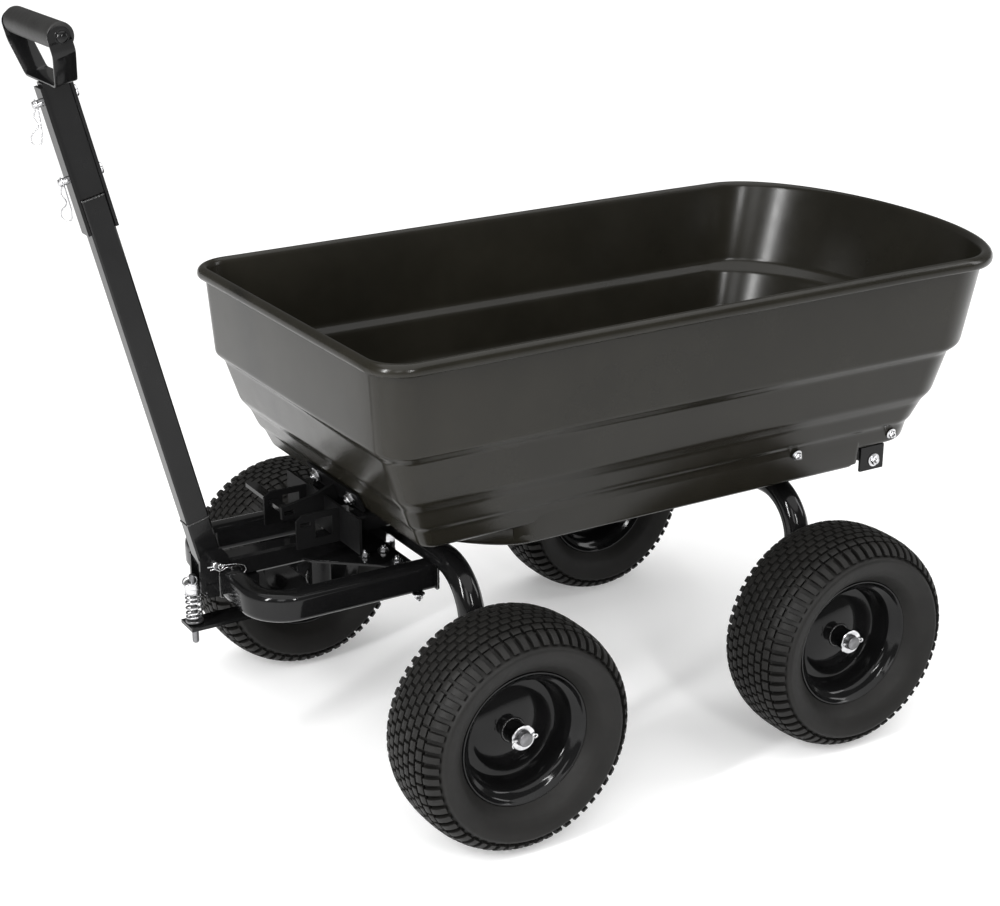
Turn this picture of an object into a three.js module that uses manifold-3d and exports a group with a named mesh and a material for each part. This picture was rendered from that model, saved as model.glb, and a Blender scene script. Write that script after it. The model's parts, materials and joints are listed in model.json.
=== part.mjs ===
// Tow-behind dump cart: a poly tub on a steel running gear with a steered front axle.
// Millimetres, +X towards the tub's pouring end, -X towards the handle, +Z up.
import * as THREE from "three";
import { mergeVertices } from "three/addons/utils/BufferGeometryUtils.js";
import initManifold from "manifold-3d";

const wasm = await initManifold();
wasm.setup();

// ---- driving dimensions -------------------------------------------------
const X_SHIFT = 49.04; // moves the axle midpoint so the whole cart is centred on X = 0
const FIT = 0.3; // clearance where two pieces touch

const WHEEL_R = 203.2;
const TYRE_HALF = 85.5;
const TRACK_HALF = 407;
const AXLE_FRONT_X = -346;
const AXLE_REAR_X = 346;
const WHEEL_SEGMENTS = 28;
const HUB_SEGMENTS = 16;
const FLANGE_R = 119;
const FLANGE_Y = 54.5;
const HUB_OUTER_R = 18.6;
const HUB_BORE_R = 13.2;

const BEAM_R = 23;
const BEAM_Z = 430;
const LEG_Y = 291;
const LEG_BOTTOM_Z = 182;
const BEND_R = 92;
const SPINDLE_R = 12.5;
const SPINDLE_END_Y = 464;

const TUB_FRONT_X = -551;
const TUB_REAR_X = 840;
const TUB_HALF = 379.5;
const TUB_TOP_Z = 843;
const TUB_BASE_Z = 494;
const TUB_FLOOR = 6;
const TUB_WALL = 5;
const TUB_REAR_REACH = 203;
const TUB_REAR_POWER = 2.06;
const TUB_CORNER_FRONT = 67;
const RIM_RISE = 10;
const RISE_FROM_Z = 682;
const RISE_PEAK_X = 600;
const WELL_BASE_Z = 461;
const WELL_INNER_Y = 128;
const WELL_OUTER_Y = 290.5;
const WELL_FRONT_X = -400;
const WELL_BEND_X = -225;
const WELL_REAR_X = 478;

const RAIL_INNER_Y = 68;
const RAIL_OUTER_Y = 108;
const RAIL_BOTTOM_Z = 465.8;
const RAIL_TOP_Z = 493.4;
const RAIL_FRONT_X = -470.6;
const HINGE_X = 522;
const HINGE_Z = 466;
const HINGE_HALF_Y = 282;

const HANDLE_LEAN = THREE.MathUtils.degToRad(14);
const HANDLE_X = -692;
const HANDLE_Z = 430;
const TUBE_DEPTH = 41;
const TUBE_WIDTH = 33;
const TUBE_END = 660;
const FOLD_S = 697;
const HITCH_S = 822;
const GRIP_S = 928;
const STRAP_BASE_S = 853;
const GRIP_R = 21;
const HITCH_PIN_R = 6;

const TOW_PIN_X = -722;
const RELEASE_X = -540;
const RELEASE_Z = 482.5;

// ---- finishes -----------------------------------------------------------
const FINISH = {
  poly: { color: 0x24221f, roughness: 0.42, metalness: 0 },
  powderCoat: { color: 0x0d0d0e, roughness: 0.25, metalness: 0.3 },
  rubber: { color: 0x252321, roughness: 0.85, metalness: 0 },
  zinc: { color: 0xb9bcc0, roughness: 0.3, metalness: 0.9 },
  bareSteel: { color: 0x8d9095, roughness: 0.4, metalness: 0.9 },
  gripPlastic: { color: 0x3a3a3b, roughness: 0.55, metalness: 0 },
};

// ---- solid helpers ------------------------------------------------------
const v3 = (x, y, z) => new THREE.Vector3(x, y, z);

function signedVolume(geometry) {
  const p = geometry.attributes.position;
  const index = geometry.index;
  let sum = 0;
  for (let i = 0; i < index.count; i += 3) {
    const [a, b, c] = [0, 1, 2].map((k) =>
      new THREE.Vector3().fromBufferAttribute(p, index.getX(i + k)),
    );
    sum += a.dot(b.cross(c));
  }
  return sum;
}

// Joins rings of equal point count into one closed skin that faces outward.
function loft(rings, closedLoop = false) {
  const n = rings[0].length;
  const points = rings.flat();
  const faces = [];
  const last = closedLoop ? rings.length : rings.length - 1;
  for (let i = 0; i < last; i += 1) {
    const a = i * n;
    const b = ((i + 1) % rings.length) * n;
    for (let j = 0; j < n; j += 1) {
      const k = (j + 1) % n;
      faces.push(a + j, a + k, b + k, a + j, b + k, b + j);
    }
  }
  if (!closedLoop) {
    addCap(points, faces, 0, n, true);
    addCap(points, faces, (rings.length - 1) * n, n, false);
  }
  const geometry = new THREE.BufferGeometry().setFromPoints(points);
  geometry.setIndex(faces);
  if (signedVolume(geometry) < 0) geometry.setIndex(flipped(faces));
  return geometry;
}

function addCap(points, faces, start, n, reverse) {
  const centre = v3(0, 0, 0);
  for (let j = 0; j < n; j += 1) centre.add(points[start + j]);
  points.push(centre.divideScalar(n));
  const c = points.length - 1;
  for (let j = 0; j < n; j += 1) {
    const a = start + j;
    const b = start + ((j + 1) % n);
    if (reverse) faces.push(c, b, a);
    else faces.push(c, a, b);
  }
}

function flipped(faces) {
  const out = [];
  for (let i = 0; i < faces.length; i += 3) out.push(faces[i], faces[i + 2], faces[i + 1]);
  return out;
}

function toManifold(geometry) {
  const bare = geometry.clone();
  bare.deleteAttribute("normal");
  bare.deleteAttribute("uv");
  const merged = mergeVertices(bare, 1e-4);
  return new wasm.Manifold(
    new wasm.Mesh({
      numProp: 3,
      vertProperties: Float32Array.from(merged.attributes.position.array),
      triVerts: Uint32Array.from(merged.index.array),
    }),
  );
}

function fromManifold(solid) {
  const mesh = solid.getMesh();
  const geometry = new THREE.BufferGeometry();
  geometry.setAttribute("position", new THREE.BufferAttribute(Float32Array.from(mesh.vertProperties), 3));
  geometry.setIndex(new THREE.BufferAttribute(Uint32Array.from(mesh.triVerts), 1));
  return geometry;
}

function join(...geometries) {
  return fromManifold(geometries.map(toManifold).reduce((a, b) => a.add(b)));
}

function cut(base, ...tools) {
  return fromManifold(tools.map(toManifold).reduce((a, b) => a.subtract(b), toManifold(base)));
}

function box(x0, x1, y0, y1, z0, z1) {
  return new THREE.BoxGeometry(x1 - x0, y1 - y0, z1 - z0).translate(
    (x0 + x1) / 2,
    (y0 + y1) / 2,
    (z0 + z1) / 2,
  );
}

function rod(from, to, radius, segments = 20) {
  const axis = to.clone().sub(from);
  const turn = new THREE.Quaternion().setFromUnitVectors(v3(0, 1, 0), axis.clone().normalize());
  const middle = from.clone().add(to).multiplyScalar(0.5);
  return new THREE.CylinderGeometry(radius, radius, axis.length(), segments)
    .applyQuaternion(turn)
    .translate(middle.x, middle.y, middle.z);
}

// A plate outlined in X and Z and running from y0 to y1.
function plateXZ(outline, y0, y1) {
  return loft([y0, y1].map((y) => outline.map(([x, z]) => v3(x, y, z))));
}

// A solid of revolution about a line parallel to Y; the profile is [radius, y] and closed.
function wheelTurn(profile, segments) {
  const touch = 1 / Math.cos(Math.PI / segments);
  const rings = [];
  for (let i = 0; i < segments; i += 1) {
    const angle = ((i + 0.5) / segments) * 2 * Math.PI;
    const [c, s] = [Math.sin(angle), -Math.cos(angle)];
    rings.push(profile.map(([r, y]) => v3(r * touch * c, y, r * touch * s)));
  }
  return loft(rings, true);
}

// A shaft along Y made of [radius, y] stations, closed at both ends.
function turnedShaft(stations, segments) {
  return loft(
    stations.map(([r, y]) => {
      const ring = [];
      for (let i = 0; i < segments; i += 1) {
        const angle = (i / segments) * 2 * Math.PI;
        ring.push(v3(r * Math.cos(angle), y, r * Math.sin(angle)));
      }
      return ring;
    }),
  );
}

const roundSection = (radius, segments) =>
  Array.from({ length: segments }, (_, i) => {
    const angle = (i / segments) * 2 * Math.PI;
    return [radius * Math.cos(angle), radius * Math.sin(angle)];
  });

function boxSection(width, height, chamfer) {
  const [a, b, c] = [width / 2, height / 2, chamfer];
  return [
    [a, -b + c],
    [a, b - c],
    [a - c, b],
    [-a + c, b],
    [-a, b - c],
    [-a, -b + c],
    [-a + c, -b],
    [a - c, -b],
  ];
}

// Sweeps a section along points; section axes are (hint side, hint).
function sweep(path, section, hint, closedLoop = false) {
  const count = path.length;
  const rings = path.map((point, i) => {
    const before = closedLoop ? path[(i + count - 1) % count] : path[Math.max(i - 1, 0)];
    const after = closedLoop ? path[(i + 1) % count] : path[Math.min(i + 1, count - 1)];
    const tangent = after.clone().sub(before).normalize();
    const up = hint.clone().addScaledVector(tangent, -hint.dot(tangent)).normalize();
    const side = up.clone().cross(tangent);
    return section.map(([a, b]) => point.clone().addScaledVector(side, a).addScaledVector(up, b));
  });
  return loft(rings, closedLoop);
}

// Rounds the inner corners of a polyline with arcs.
function rounded(corners, radius, steps) {
  const path = [corners[0]];
  for (let i = 1; i < corners.length - 1; i += 1) {
    const u = corners[i - 1].clone().sub(corners[i]).normalize();
    const w = corners[i + 1].clone().sub(corners[i]).normalize();
    const half = u.angleTo(w) / 2;
    const centre = corners[i]
      .clone()
      .addScaledVector(u.clone().add(w).normalize(), radius / Math.sin(half));
    const start = corners[i].clone().addScaledVector(u, radius / Math.tan(half)).sub(centre);
    const end = corners[i].clone().addScaledVector(w, radius / Math.tan(half)).sub(centre);
    const sweepAngle = start.angleTo(end);
    const axis = start.clone().cross(end).normalize();
    for (let k = 0; k <= steps; k += 1) {
      const arm = start.clone().applyAxisAngle(axis, (sweepAngle * k) / steps);
      path.push(centre.clone().add(arm));
    }
  }
  path.push(corners[corners.length - 1]);
  return path;
}

const cart = new THREE.Group();
cart.name = "cart";
cart.position.x = X_SHIFT;

function add(name, geometry, finish, parent = cart) {
  const skin = geometry.index ? geometry.toNonIndexed() : geometry;
  skin.computeVertexNormals();
  const mesh = new THREE.Mesh(skin, new THREE.MeshStandardMaterial(FINISH[finish]));
  mesh.name = name;
  parent.add(mesh);
  return mesh;
}

// ---- wheels -------------------------------------------------------------
// The tyre is solid foam; its inner line follows the rim half a millimetre off.
const TYRE_PROFILE = [
  [102.7, 36.4],
  [119.7, 52.2],
  [124, 60],
  [146, 80],
  [164, TYRE_HALF],
  [181, 81.5],
  [193, 71],
  [200.5, 50],
  [WHEEL_R, 24],
];

function mirrored(profile) {
  return profile.map(([r, y]) => [r, -y]).reverse();
}

function tyreGeometry() {
  return wheelTurn([...TYRE_PROFILE, ...mirrored(TYRE_PROFILE)], WHEEL_SEGMENTS);
}

// Pressed rim: flanges, barrel and a dished centre disc with a hub hole.
function rimGeometry() {
  const profile = [
    [19.2, 3],
    [19.2, 9],
    [38, 11],
    [90, 3],
    [98.5, 39],
    [116, FLANGE_Y],
    [FLANGE_R, 51.6],
    [102, 36],
    [102, -36],
    [FLANGE_R, -51.6],
    [116, -FLANGE_Y],
    [98.5, -39],
    [90, -3],
    [38, 5],
  ];
  return wheelTurn(profile, WHEEL_SEGMENTS);
}

// Full-length hub tube that turns on the spindle.
function hubGeometry() {
  const profile = [
    [HUB_BORE_R, -52],
    [HUB_OUTER_R, -52],
    [HUB_OUTER_R, 45],
    [HUB_BORE_R, 45],
  ];
  return wheelTurn(profile, HUB_SEGMENTS);
}

function washerGeometry() {
  const profile = [
    [13.4, 45.4],
    [22, 45.4],
    [22, 48.2],
    [13.4, 48.2],
  ];
  return wheelTurn(profile, HUB_SEGMENTS);
}

// Split pin through the spindle end, with its eye outside the shaft.
function cotterGeometry() {
  const y = SPINDLE_END_Y - TRACK_HALF - 6;
  const eye = 6.5;
  const path = [v3(-22, y, 0), v3(20, y, 0)];
  for (let i = 1; i <= 6; i += 1) {
    const angle = Math.PI * (-0.5 + i * 0.26);
    path.push(v3(20 + eye * Math.cos(angle), y, eye + eye * Math.sin(angle)));
  }
  return sweep(path, roundSection(1.8, 5), v3(0, 1, 0));
}

function spindleGeometry() {
  const inner = LEG_Y + BEAM_R + FIT - TRACK_HALF;
  const collarEnd = -52.4;
  const tip = SPINDLE_END_Y - TRACK_HALF;
  const shaft = turnedShaft(
    [
      [17, inner],
      [17, collarEnd],
      [SPINDLE_R, collarEnd],
      [SPINDLE_R, tip - 1.5],
      [SPINDLE_R - 1.5, tip],
    ],
    HUB_SEGMENTS,
  );
  const pinHole = rod(v3(-20, tip - 6, 0), v3(20, tip - 6, 0), 2.3, 8);
  return cut(shaft, pinHole);
}

function addWheel(tag, x, side) {
  const station = new THREE.Group();
  station.position.set(x, side * TRACK_HALF, WHEEL_R);
  if (side < 0) station.rotation.z = Math.PI;
  cart.add(station);
  add(`tyre_${tag}`, tyreGeometry(), "rubber", station);
  add(`rim_${tag}`, rimGeometry(), "powderCoat", station);
  add(`hub_${tag}`, hubGeometry(), "powderCoat", station);
  add(`washer_${tag}`, washerGeometry(), "zinc", station);
  add(`cotter_${tag}`, cotterGeometry(), "zinc", station);
  add(`spindle_${tag}`, spindleGeometry(), "bareSteel", station);
}

// ---- axle beams ---------------------------------------------------------
function beamGeometry(x) {
  const corners = [
    v3(x, -LEG_Y, LEG_BOTTOM_Z),
    v3(x, -LEG_Y, BEAM_Z),
    v3(x, LEG_Y, BEAM_Z),
    v3(x, LEG_Y, LEG_BOTTOM_Z),
  ];
  return sweep(rounded(corners, BEND_R, 5), roundSection(BEAM_R, 14), v3(1, 0, 0));
}

const KINGPIN_R = 8;
const KINGPIN_HOLE_R = 8.6;

function frontBeamGeometry() {
  const bore = rod(v3(AXLE_FRONT_X, 0, 380), v3(AXLE_FRONT_X, 0, 480), KINGPIN_HOLE_R);
  return cut(beamGeometry(AXLE_FRONT_X), bore);
}

// ---- chassis ------------------------------------------------------------
const BOLSTER_BOTTOM_Z = 459.6;
const BEAM_TOP_Z = BEAM_Z + BEAM_R;

function bolsterGeometry() {
  const plate = box(-388, -304, -RAIL_OUTER_Y - 2, RAIL_OUTER_Y + 2, BOLSTER_BOTTOM_Z, 465.5);
  const bore = rod(v3(AXLE_FRONT_X, 0, 450), v3(AXLE_FRONT_X, 0, 480), KINGPIN_HOLE_R);
  return cut(plate, bore);
}

function kingpinGeometry() {
  const at = (z) => v3(AXLE_FRONT_X, 0, z);
  const head = rod(at(465.8), at(476), 13, 6);
  const shank = rod(at(388), at(470), KINGPIN_R, 18);
  const nut = rod(at(392), at(404.5), 13, 6);
  return join(shank, head, nut);
}

function railGeometry(side) {
  const middle = (side * (RAIL_INNER_Y + RAIL_OUTER_Y)) / 2;
  const path = [RAIL_FRONT_X, HINGE_X - 10 - FIT].map((x) => v3(x, middle, (RAIL_BOTTOM_Z + RAIL_TOP_Z) / 2));
  const section = boxSection(RAIL_OUTER_Y - RAIL_INNER_Y, RAIL_TOP_Z - RAIL_BOTTOM_Z, 3);
  return sweep(path, section, v3(0, 0, 1));
}

function hingeBarGeometry() {
  const bar = box(HINGE_X - 10, HINGE_X + 10, -HINGE_HALF_Y, HINGE_HALF_Y, HINGE_Z - 10, HINGE_Z + 10);
  const holes = [-1, 1].map((side) =>
    rod(v3(HINGE_X, side * (HINGE_HALF_Y - 26), HINGE_Z), v3(HINGE_X, side * 300, HINGE_Z), 5.4, 16),
  );
  return cut(bar, ...holes);
}

// Shoulder bolt screwed into the end of the hinge bar; the tub bracket turns on it.
function pivotBoltGeometry(side) {
  const at = (y) => v3(HINGE_X, side * y, HINGE_Z);
  const shank = rod(at(HINGE_HALF_Y - 25), at(291), 5, 16);
  const head = rod(at(289.2), at(296.5), 9, 6);
  return join(shank, head);
}

// Rear saddle plate between the rear beam and the rails.
function rearPadGeometry() {
  return box(310, 382, -RAIL_OUTER_Y - 2, RAIL_OUTER_Y + 2, BEAM_TOP_Z + FIT, 465.5);
}

const APRON_X = -476;
const APRON_T = 5;
const APRON_HALF_Y = 140;
const APRON_BOTTOM_Z = 440;
const APRON_TOP_Z = 503;
const CHEEK_INNER = 62;
const CHEEK_OUTER = 67;
const CHEEK_OUTLINE = [
  [-557, APRON_BOTTOM_Z],
  [-474, APRON_BOTTOM_Z],
  [-474, 500],
  [-545, 500],
  [-557, 491],
];

// Folded front bracket: apron across the rail ends and two windowed cheeks in front of it.
function latchBracketGeometry() {
  const apron = box(APRON_X, APRON_X + APRON_T, -APRON_HALF_Y, APRON_HALF_Y, APRON_BOTTOM_Z, APRON_TOP_Z);
  const cheeks = [-1, 1].map((side) =>
    side < 0
      ? plateXZ(CHEEK_OUTLINE, -CHEEK_OUTER, -CHEEK_INNER)
      : plateXZ(CHEEK_OUTLINE, CHEEK_INNER, CHEEK_OUTER),
  );
  const past = CHEEK_OUTER + 13;
  const windows = box(-522, -490, -past, past, 454, 490);
  const barSlot = box(RELEASE_X - 9.6, RELEASE_X + 9.6, -past, past, RELEASE_Z - 4.2, RELEASE_Z + 4.2);
  const lugSlot = box(APRON_X - 2, APRON_X + 8, -7, 7, 466, 520);
  return cut(join(apron, ...cheeks), windows, barSlot, lugSlot);
}

// ---- tub ----------------------------------------------------------------
// Stations run from the base up the outside: height, inset at the sides, front and rear.
const TUB_OUTSIDE = [
  [TUB_BASE_Z, 94, 122, 172],
  [500, 84, 113, 162],
  [531, 77, 99, 156],
  [540, 70, 90, 149],
  [572, 62, 76, 126],
  [592, 49, 60, 110],
  [668, 36, 36, 81],
  [682, 24, 22, 57],
  [821, 16, 12, 16],
  [822, 1.5, 1.5, 1.5],
  [826, 0, 0, 0],
  [838, 0, 0, 0],
  [TUB_TOP_Z, 4, 4, 4],
];

function tubInside() {
  const wallStations = TUB_OUTSIDE.slice(2, 8).reverse();
  const wall = wallStations.map(([z, ...insets]) => [
    z + TUB_WALL,
    ...insets.map((inset) => inset + TUB_WALL),
  ]);
  const floorZ = TUB_BASE_Z + TUB_FLOOR;
  return [
    [TUB_TOP_Z + 2, 10, 10, 10],
    [TUB_TOP_Z - 4, 16 + TUB_WALL, 12 + TUB_WALL, 16 + TUB_WALL],
    ...wall,
    [floorZ + 7, 88, 117, 167],
    [floorZ, 100, 128, 178],
  ];
}

function arcPoints(cx, cy, rx, ry, fromDeg, toDeg, steps, power = 2) {
  const bend = (value) => Math.sign(value) * Math.abs(value) ** (2 / power);
  return Array.from({ length: steps + 1 }, (_, i) => {
    const a = THREE.MathUtils.degToRad(fromDeg + ((toDeg - fromDeg) * i) / steps);
    return [cx + rx * bend(Math.cos(a)), cy + ry * bend(Math.sin(a))];
  });
}

// The rim climbs towards the rear and eases down again at the pouring edge.
function tubRise(x, z) {
  const share = THREE.MathUtils.clamp((z - RISE_FROM_Z) / (TUB_TOP_Z - RISE_FROM_Z), 0, 1);
  const along = x < RISE_PEAK_X
    ? (x - TUB_FRONT_X) / (RISE_PEAK_X - TUB_FRONT_X)
    : 1 - (0.5 * (x - RISE_PEAK_X)) / (TUB_REAR_X - RISE_PEAK_X);
  return RIM_RISE * share * along;
}

function tubRing([z, side, front, rear]) {
  const half = TUB_HALF - side;
  const x0 = TUB_FRONT_X + front;
  const x1 = TUB_REAR_X - rear;
  const rf = Math.max(TUB_CORNER_FRONT - side * 0.55, 20);
  const reach = TUB_REAR_REACH - rear * 0.45;
  const near = [
    ...arcPoints(x0 + rf, -half + rf, rf, rf, 180, 270, 5),
    ...arcPoints(x1 - reach, 0, reach, half, 270, 360, 12, TUB_REAR_POWER),
  ];
  const far = near.slice(0, -1).map(([x, y]) => [x, -y]).reverse();
  return [...near, ...far].map(([x, y]) => v3(x, y, z + tubRise(x, z)));
}

// Foot well beside the frame rails, as one ring; inset shrinks it all round.
function wellRing(side, z, outer, inset) {
  const [y0, y1] = [WELL_INNER_Y + inset, outer - inset];
  const rear = WELL_REAR_X - inset;
  const front = new THREE.QuadraticBezierCurve(
    new THREE.Vector2(WELL_BEND_X, y1),
    new THREE.Vector2(WELL_FRONT_X + 100, y1),
    new THREE.Vector2(WELL_FRONT_X + inset, y0),
  );
  const outline = [
    [rear, y0],
    ...arcPoints(rear - 12, y1 - 12, 12, 12, 0, 90, 3),
    ...front.getPoints(9).map((p) => [p.x, p.y]),
  ];
  const ring = outline.map(([x, y]) => v3(x, side * y, z));
  return side > 0 ? ring : ring.reverse();
}

function wellGeometry(side) {
  return loft([
    wellRing(side, WELL_BASE_Z, WELL_OUTER_Y, 5),
    wellRing(side, WELL_BASE_Z + 5, WELL_OUTER_Y, 0),
    wellRing(side, 505, TUB_HALF - 83.2, 0),
  ]);
}

function wellHollowGeometry(side) {
  return loft([
    wellRing(side, WELL_BASE_Z + TUB_WALL, WELL_OUTER_Y, 5 + TUB_WALL),
    wellRing(side, WELL_BASE_Z + TUB_WALL + 5, WELL_OUTER_Y, TUB_WALL),
    wellRing(side, 503, WELL_OUTER_Y, TUB_WALL),
  ]);
}

function tubGeometry() {
  const outside = loft(TUB_OUTSIDE.map(tubRing));
  const inside = loft(tubInside().reverse().map(tubRing));
  const body = join(outside, wellGeometry(-1), wellGeometry(1));
  return cut(body, inside, wellHollowGeometry(-1), wellHollowGeometry(1));
}

const FRONT_BOLT_Y = 65;

// Point at a distance out of the front foot's face, on the line of one of its two bolts.
function frontBoltPoint(y, distance) {
  return v3(-451.3, y, 514).addScaledVector(v3(-0.91, 0, -0.414), distance);
}

// Front foot of the tub: a plate on the sloping wall with a lug for the release bar.
function tubFrontBracketGeometry() {
  const plate = plateXZ(
    [
      [-453.6, 529],
      [-440.4, 500],
      [-440.4, 496],
      [-445.4, 496],
      [-445.4, 501],
      [-458.2, 529],
    ],
    -95,
    95,
  );
  const lug = plateXZ(
    [
      [-452, 520],
      [-443, 500],
      [-443, 497],
      [-466, 472],
      [-554, 472],
      [-554, 494],
      [-488, 506],
    ],
    -4,
    4,
  );
  const slot = box(RELEASE_X - 9.8, RELEASE_X + 9.8, -10, 10, RELEASE_Z - 4.4, RELEASE_Z + 4.4);
  const holes = [-FRONT_BOLT_Y, FRONT_BOLT_Y].map((y) =>
    rod(frontBoltPoint(y, -9), frontBoltPoint(y, 9), 4.6, 12),
  );
  return cut(join(plate, lug), slot, ...holes);
}

// Hex bolt in the front foot, square to the sloping wall.
function frontBoltGeometry(y) {
  const shank = rod(frontBoltPoint(y, -3.6), frontBoltPoint(y, 2), 4, 12);
  const head = rod(frontBoltPoint(y, 0.5), frontBoltPoint(y, 6.9), 8, 6);
  return join(shank, head);
}

// Rear hinge bracket: flange under the tub floor and a cheek outside the hinge bar.
function sideBracketGeometry(side) {
  const order = (a, b) => (side < 0 ? [-b, -a] : [a, b]);
  const cheek = box(491, 546, ...order(HINGE_HALF_Y + FIT, HINGE_HALF_Y + 6), 447, 493.6);
  const flange = box(491, 546, ...order(214, HINGE_HALF_Y + 6), 488.6, 493.6);
  const hole = rod(v3(HINGE_X, side * 270, HINGE_Z), v3(HINGE_X, side * 300, HINGE_Z), 5.5, 16);
  return cut(join(cheek, flange), hole);
}

// ---- steered tow frame --------------------------------------------------
function saddleGeometry() {
  const plate = box(-392, -300, -118, 118, BEAM_TOP_Z + FIT, BOLSTER_BOTTOM_Z - 0.5);
  const bore = rod(v3(AXLE_FRONT_X, 0, 440), v3(AXLE_FRONT_X, 0, 480), KINGPIN_HOLE_R);
  return cut(plate, bore);
}

const ARM_TOP_Z = 417;
const ARM_HEIGHT = 50;
const ARM_WIDTH = 39;
const ARM_Y = 169.5;
const ARM_CROSS_X = -664;
const ARM_BEND_R = 60;
const YOKE_HALF_Y = 25;
const YOKE_TOP_Z = 393;
const EAR_INNER_Y = 17;
const EAR_OUTER_Y = 23;
const TONGUE_TOP_Z = 319;
const TONGUE_T = 6;
const TONGUE_HALF_Y = 24;
const YOKE_REAR_X = -611;
const PIN_BORE_R = 6.6;

// One bent arm of the tow frame, from the beam forward and round to the yoke.
function towArmGeometry(side) {
  const z = ARM_TOP_Z - ARM_HEIGHT / 2;
  const corners = [
    v3(AXLE_FRONT_X - BEAM_R - FIT, side * ARM_Y, z),
    v3(ARM_CROSS_X, side * ARM_Y, z),
    v3(ARM_CROSS_X, side * (YOKE_HALF_Y + FIT), z),
  ];
  const section = boxSection(ARM_WIDTH, ARM_HEIGHT, 5);
  const bar = sweep(rounded(corners, ARM_BEND_R, 7), section, v3(0, 0, 1));
  const yokeSpace = box(-760, -600, -YOKE_HALF_Y - FIT, YOKE_HALF_Y + FIT, 360, 460);
  return cut(bar, yokeSpace);
}

// Middle bar from the yoke back to the beam.
function tongueBarGeometry() {
  const z = 411.9;
  const path = [v3(-662, 0, z), v3(AXLE_FRONT_X - BEAM_R + 6, 0, z)];
  const bar = sweep(path, boxSection(40, 37, 4), v3(0, 0, 1));
  const beamSpace = rod(
    v3(AXLE_FRONT_X, -40, BEAM_Z),
    v3(AXLE_FRONT_X, 40, BEAM_Z),
    BEAM_R + 0.6,
    48,
  );
  return cut(bar, beamSpace);
}

// Welded yoke: base, two ears for the handle and the lower tongue plate.
function yokeGeometry() {
  const base = box(-706, YOKE_REAR_X, -YOKE_HALF_Y, YOKE_HALF_Y, 369, YOKE_TOP_Z);
  const ear = [
    [-664, 380],
    [-664, 438],
    [-676, 454],
    [-704, 454],
    [-716, 438],
    [-716, 380],
  ];
  const ears = [-1, 1].map((side) =>
    side < 0 ? plateXZ(ear, -EAR_OUTER_Y, -EAR_INNER_Y) : plateXZ(ear, EAR_INNER_Y, EAR_OUTER_Y),
  );
  const half = TONGUE_HALF_Y;
  const tongue = box(-737, YOKE_REAR_X, -half, half, TONGUE_TOP_Z - TONGUE_T, TONGUE_TOP_Z);
  const web = box(YOKE_REAR_X - TONGUE_T, YOKE_REAR_X, -half, half, TONGUE_TOP_Z - 3, 372);
  const pinBore = rod(v3(HANDLE_X, -40, HANDLE_Z), v3(HANDLE_X, 40, HANDLE_Z), PIN_BORE_R);
  const towBore = rod(v3(TOW_PIN_X, 0, 300), v3(TOW_PIN_X, 0, 330), PIN_BORE_R);
  return cut(join(base, ...ears, tongue, web), pinBore, towBore);
}

// Turned cup on the nose of the yoke that guides the tow pin and stops its spring.
function springCupGeometry() {
  const at = (z) => v3(TOW_PIN_X, 0, z);
  return cut(rod(at(374), at(396), 15.2, 24), rod(at(370), at(400), PIN_BORE_R));
}

function handlePinGeometry() {
  const at = (y) => v3(HANDLE_X, y, HANDLE_Z);
  return join(rod(at(-36), at(45), 6, 18), rod(at(24), at(38), 12.5, 6));
}

// Pull-up tow pin with a spring collar below and a pull ring on top.
function towPinGeometry() {
  const at = (z) => v3(TOW_PIN_X, 0, z);
  const shank = rod(at(282), at(402), 5.8, 16);
  const collar = rod(at(320.5), at(326), 15, 18);
  const [ringR, ringSteps] = [13, 14];
  const ringPath = Array.from({ length: ringSteps }, (_, i) => {
    const a = (i / ringSteps) * 2 * Math.PI;
    return v3(TOW_PIN_X - 9 + ringR * Math.sin(a), ringR * (Math.cos(a) - 1), 398.4);
  });
  return join(shank, collar, sweep(ringPath, roundSection(1.6, 6), v3(0, 0, 1), true));
}

function towSpringGeometry() {
  const turns = 6;
  const perTurn = 10;
  const [low, high] = [328.2, 371.9];
  const path = Array.from({ length: turns * perTurn + 1 }, (_, i) => {
    const a = (i / perTurn) * 2 * Math.PI;
    const z = low + ((high - low) * i) / (turns * perTurn);
    return v3(TOW_PIN_X + 13.2 * Math.cos(a), 13.2 * Math.sin(a), z);
  });
  return sweep(path, roundSection(1.7, 5), v3(0, 0, 1));
}

// ---- handle -------------------------------------------------------------
// Built upright round its pivot: X is fore and aft, Z runs up the handle.
const handle = new THREE.Group();
handle.position.set(HANDLE_X, 0, HANDLE_Z);
handle.rotation.y = -HANDLE_LEAN;
cart.add(handle);

const HALF_DEPTH = TUBE_DEPTH / 2;
const TUBE_FOOT = -16;
const PLATE_T = 5;
const CLEVIS_BOTTOM = 606;
const CLEVIS_TOP = 845;

function handleTubeGeometry() {
  const path = [v3(0, 0, TUBE_FOOT), v3(0, 0, TUBE_END)];
  const tube = sweep(path, boxSection(TUBE_DEPTH, TUBE_WIDTH, 3), v3(0, 1, 0));
  return cut(tube, rod(v3(0, -30, 0), v3(0, 30, 0), PIN_BORE_R));
}

function clevisPlateGeometry(side) {
  const inner = HALF_DEPTH + FIT;
  const [x0, x1] = side < 0 ? [-inner - PLATE_T, -inner] : [inner, inner + PLATE_T];
  const holes = [FOLD_S, HITCH_S].map((s) => rod(v3(-40, 0, s), v3(40, 0, s), HITCH_PIN_R + 0.5));
  return cut(box(x0, x1, -15, 15, CLEVIS_BOTTOM, CLEVIS_TOP), ...holes);
}

function hitchPinGeometry(s) {
  const at = (x) => v3(x, 0, s);
  return join(rod(at(-41), at(31), HITCH_PIN_R, 18), rod(at(26.6), at(31.6), 9.5, 18));
}

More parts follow.
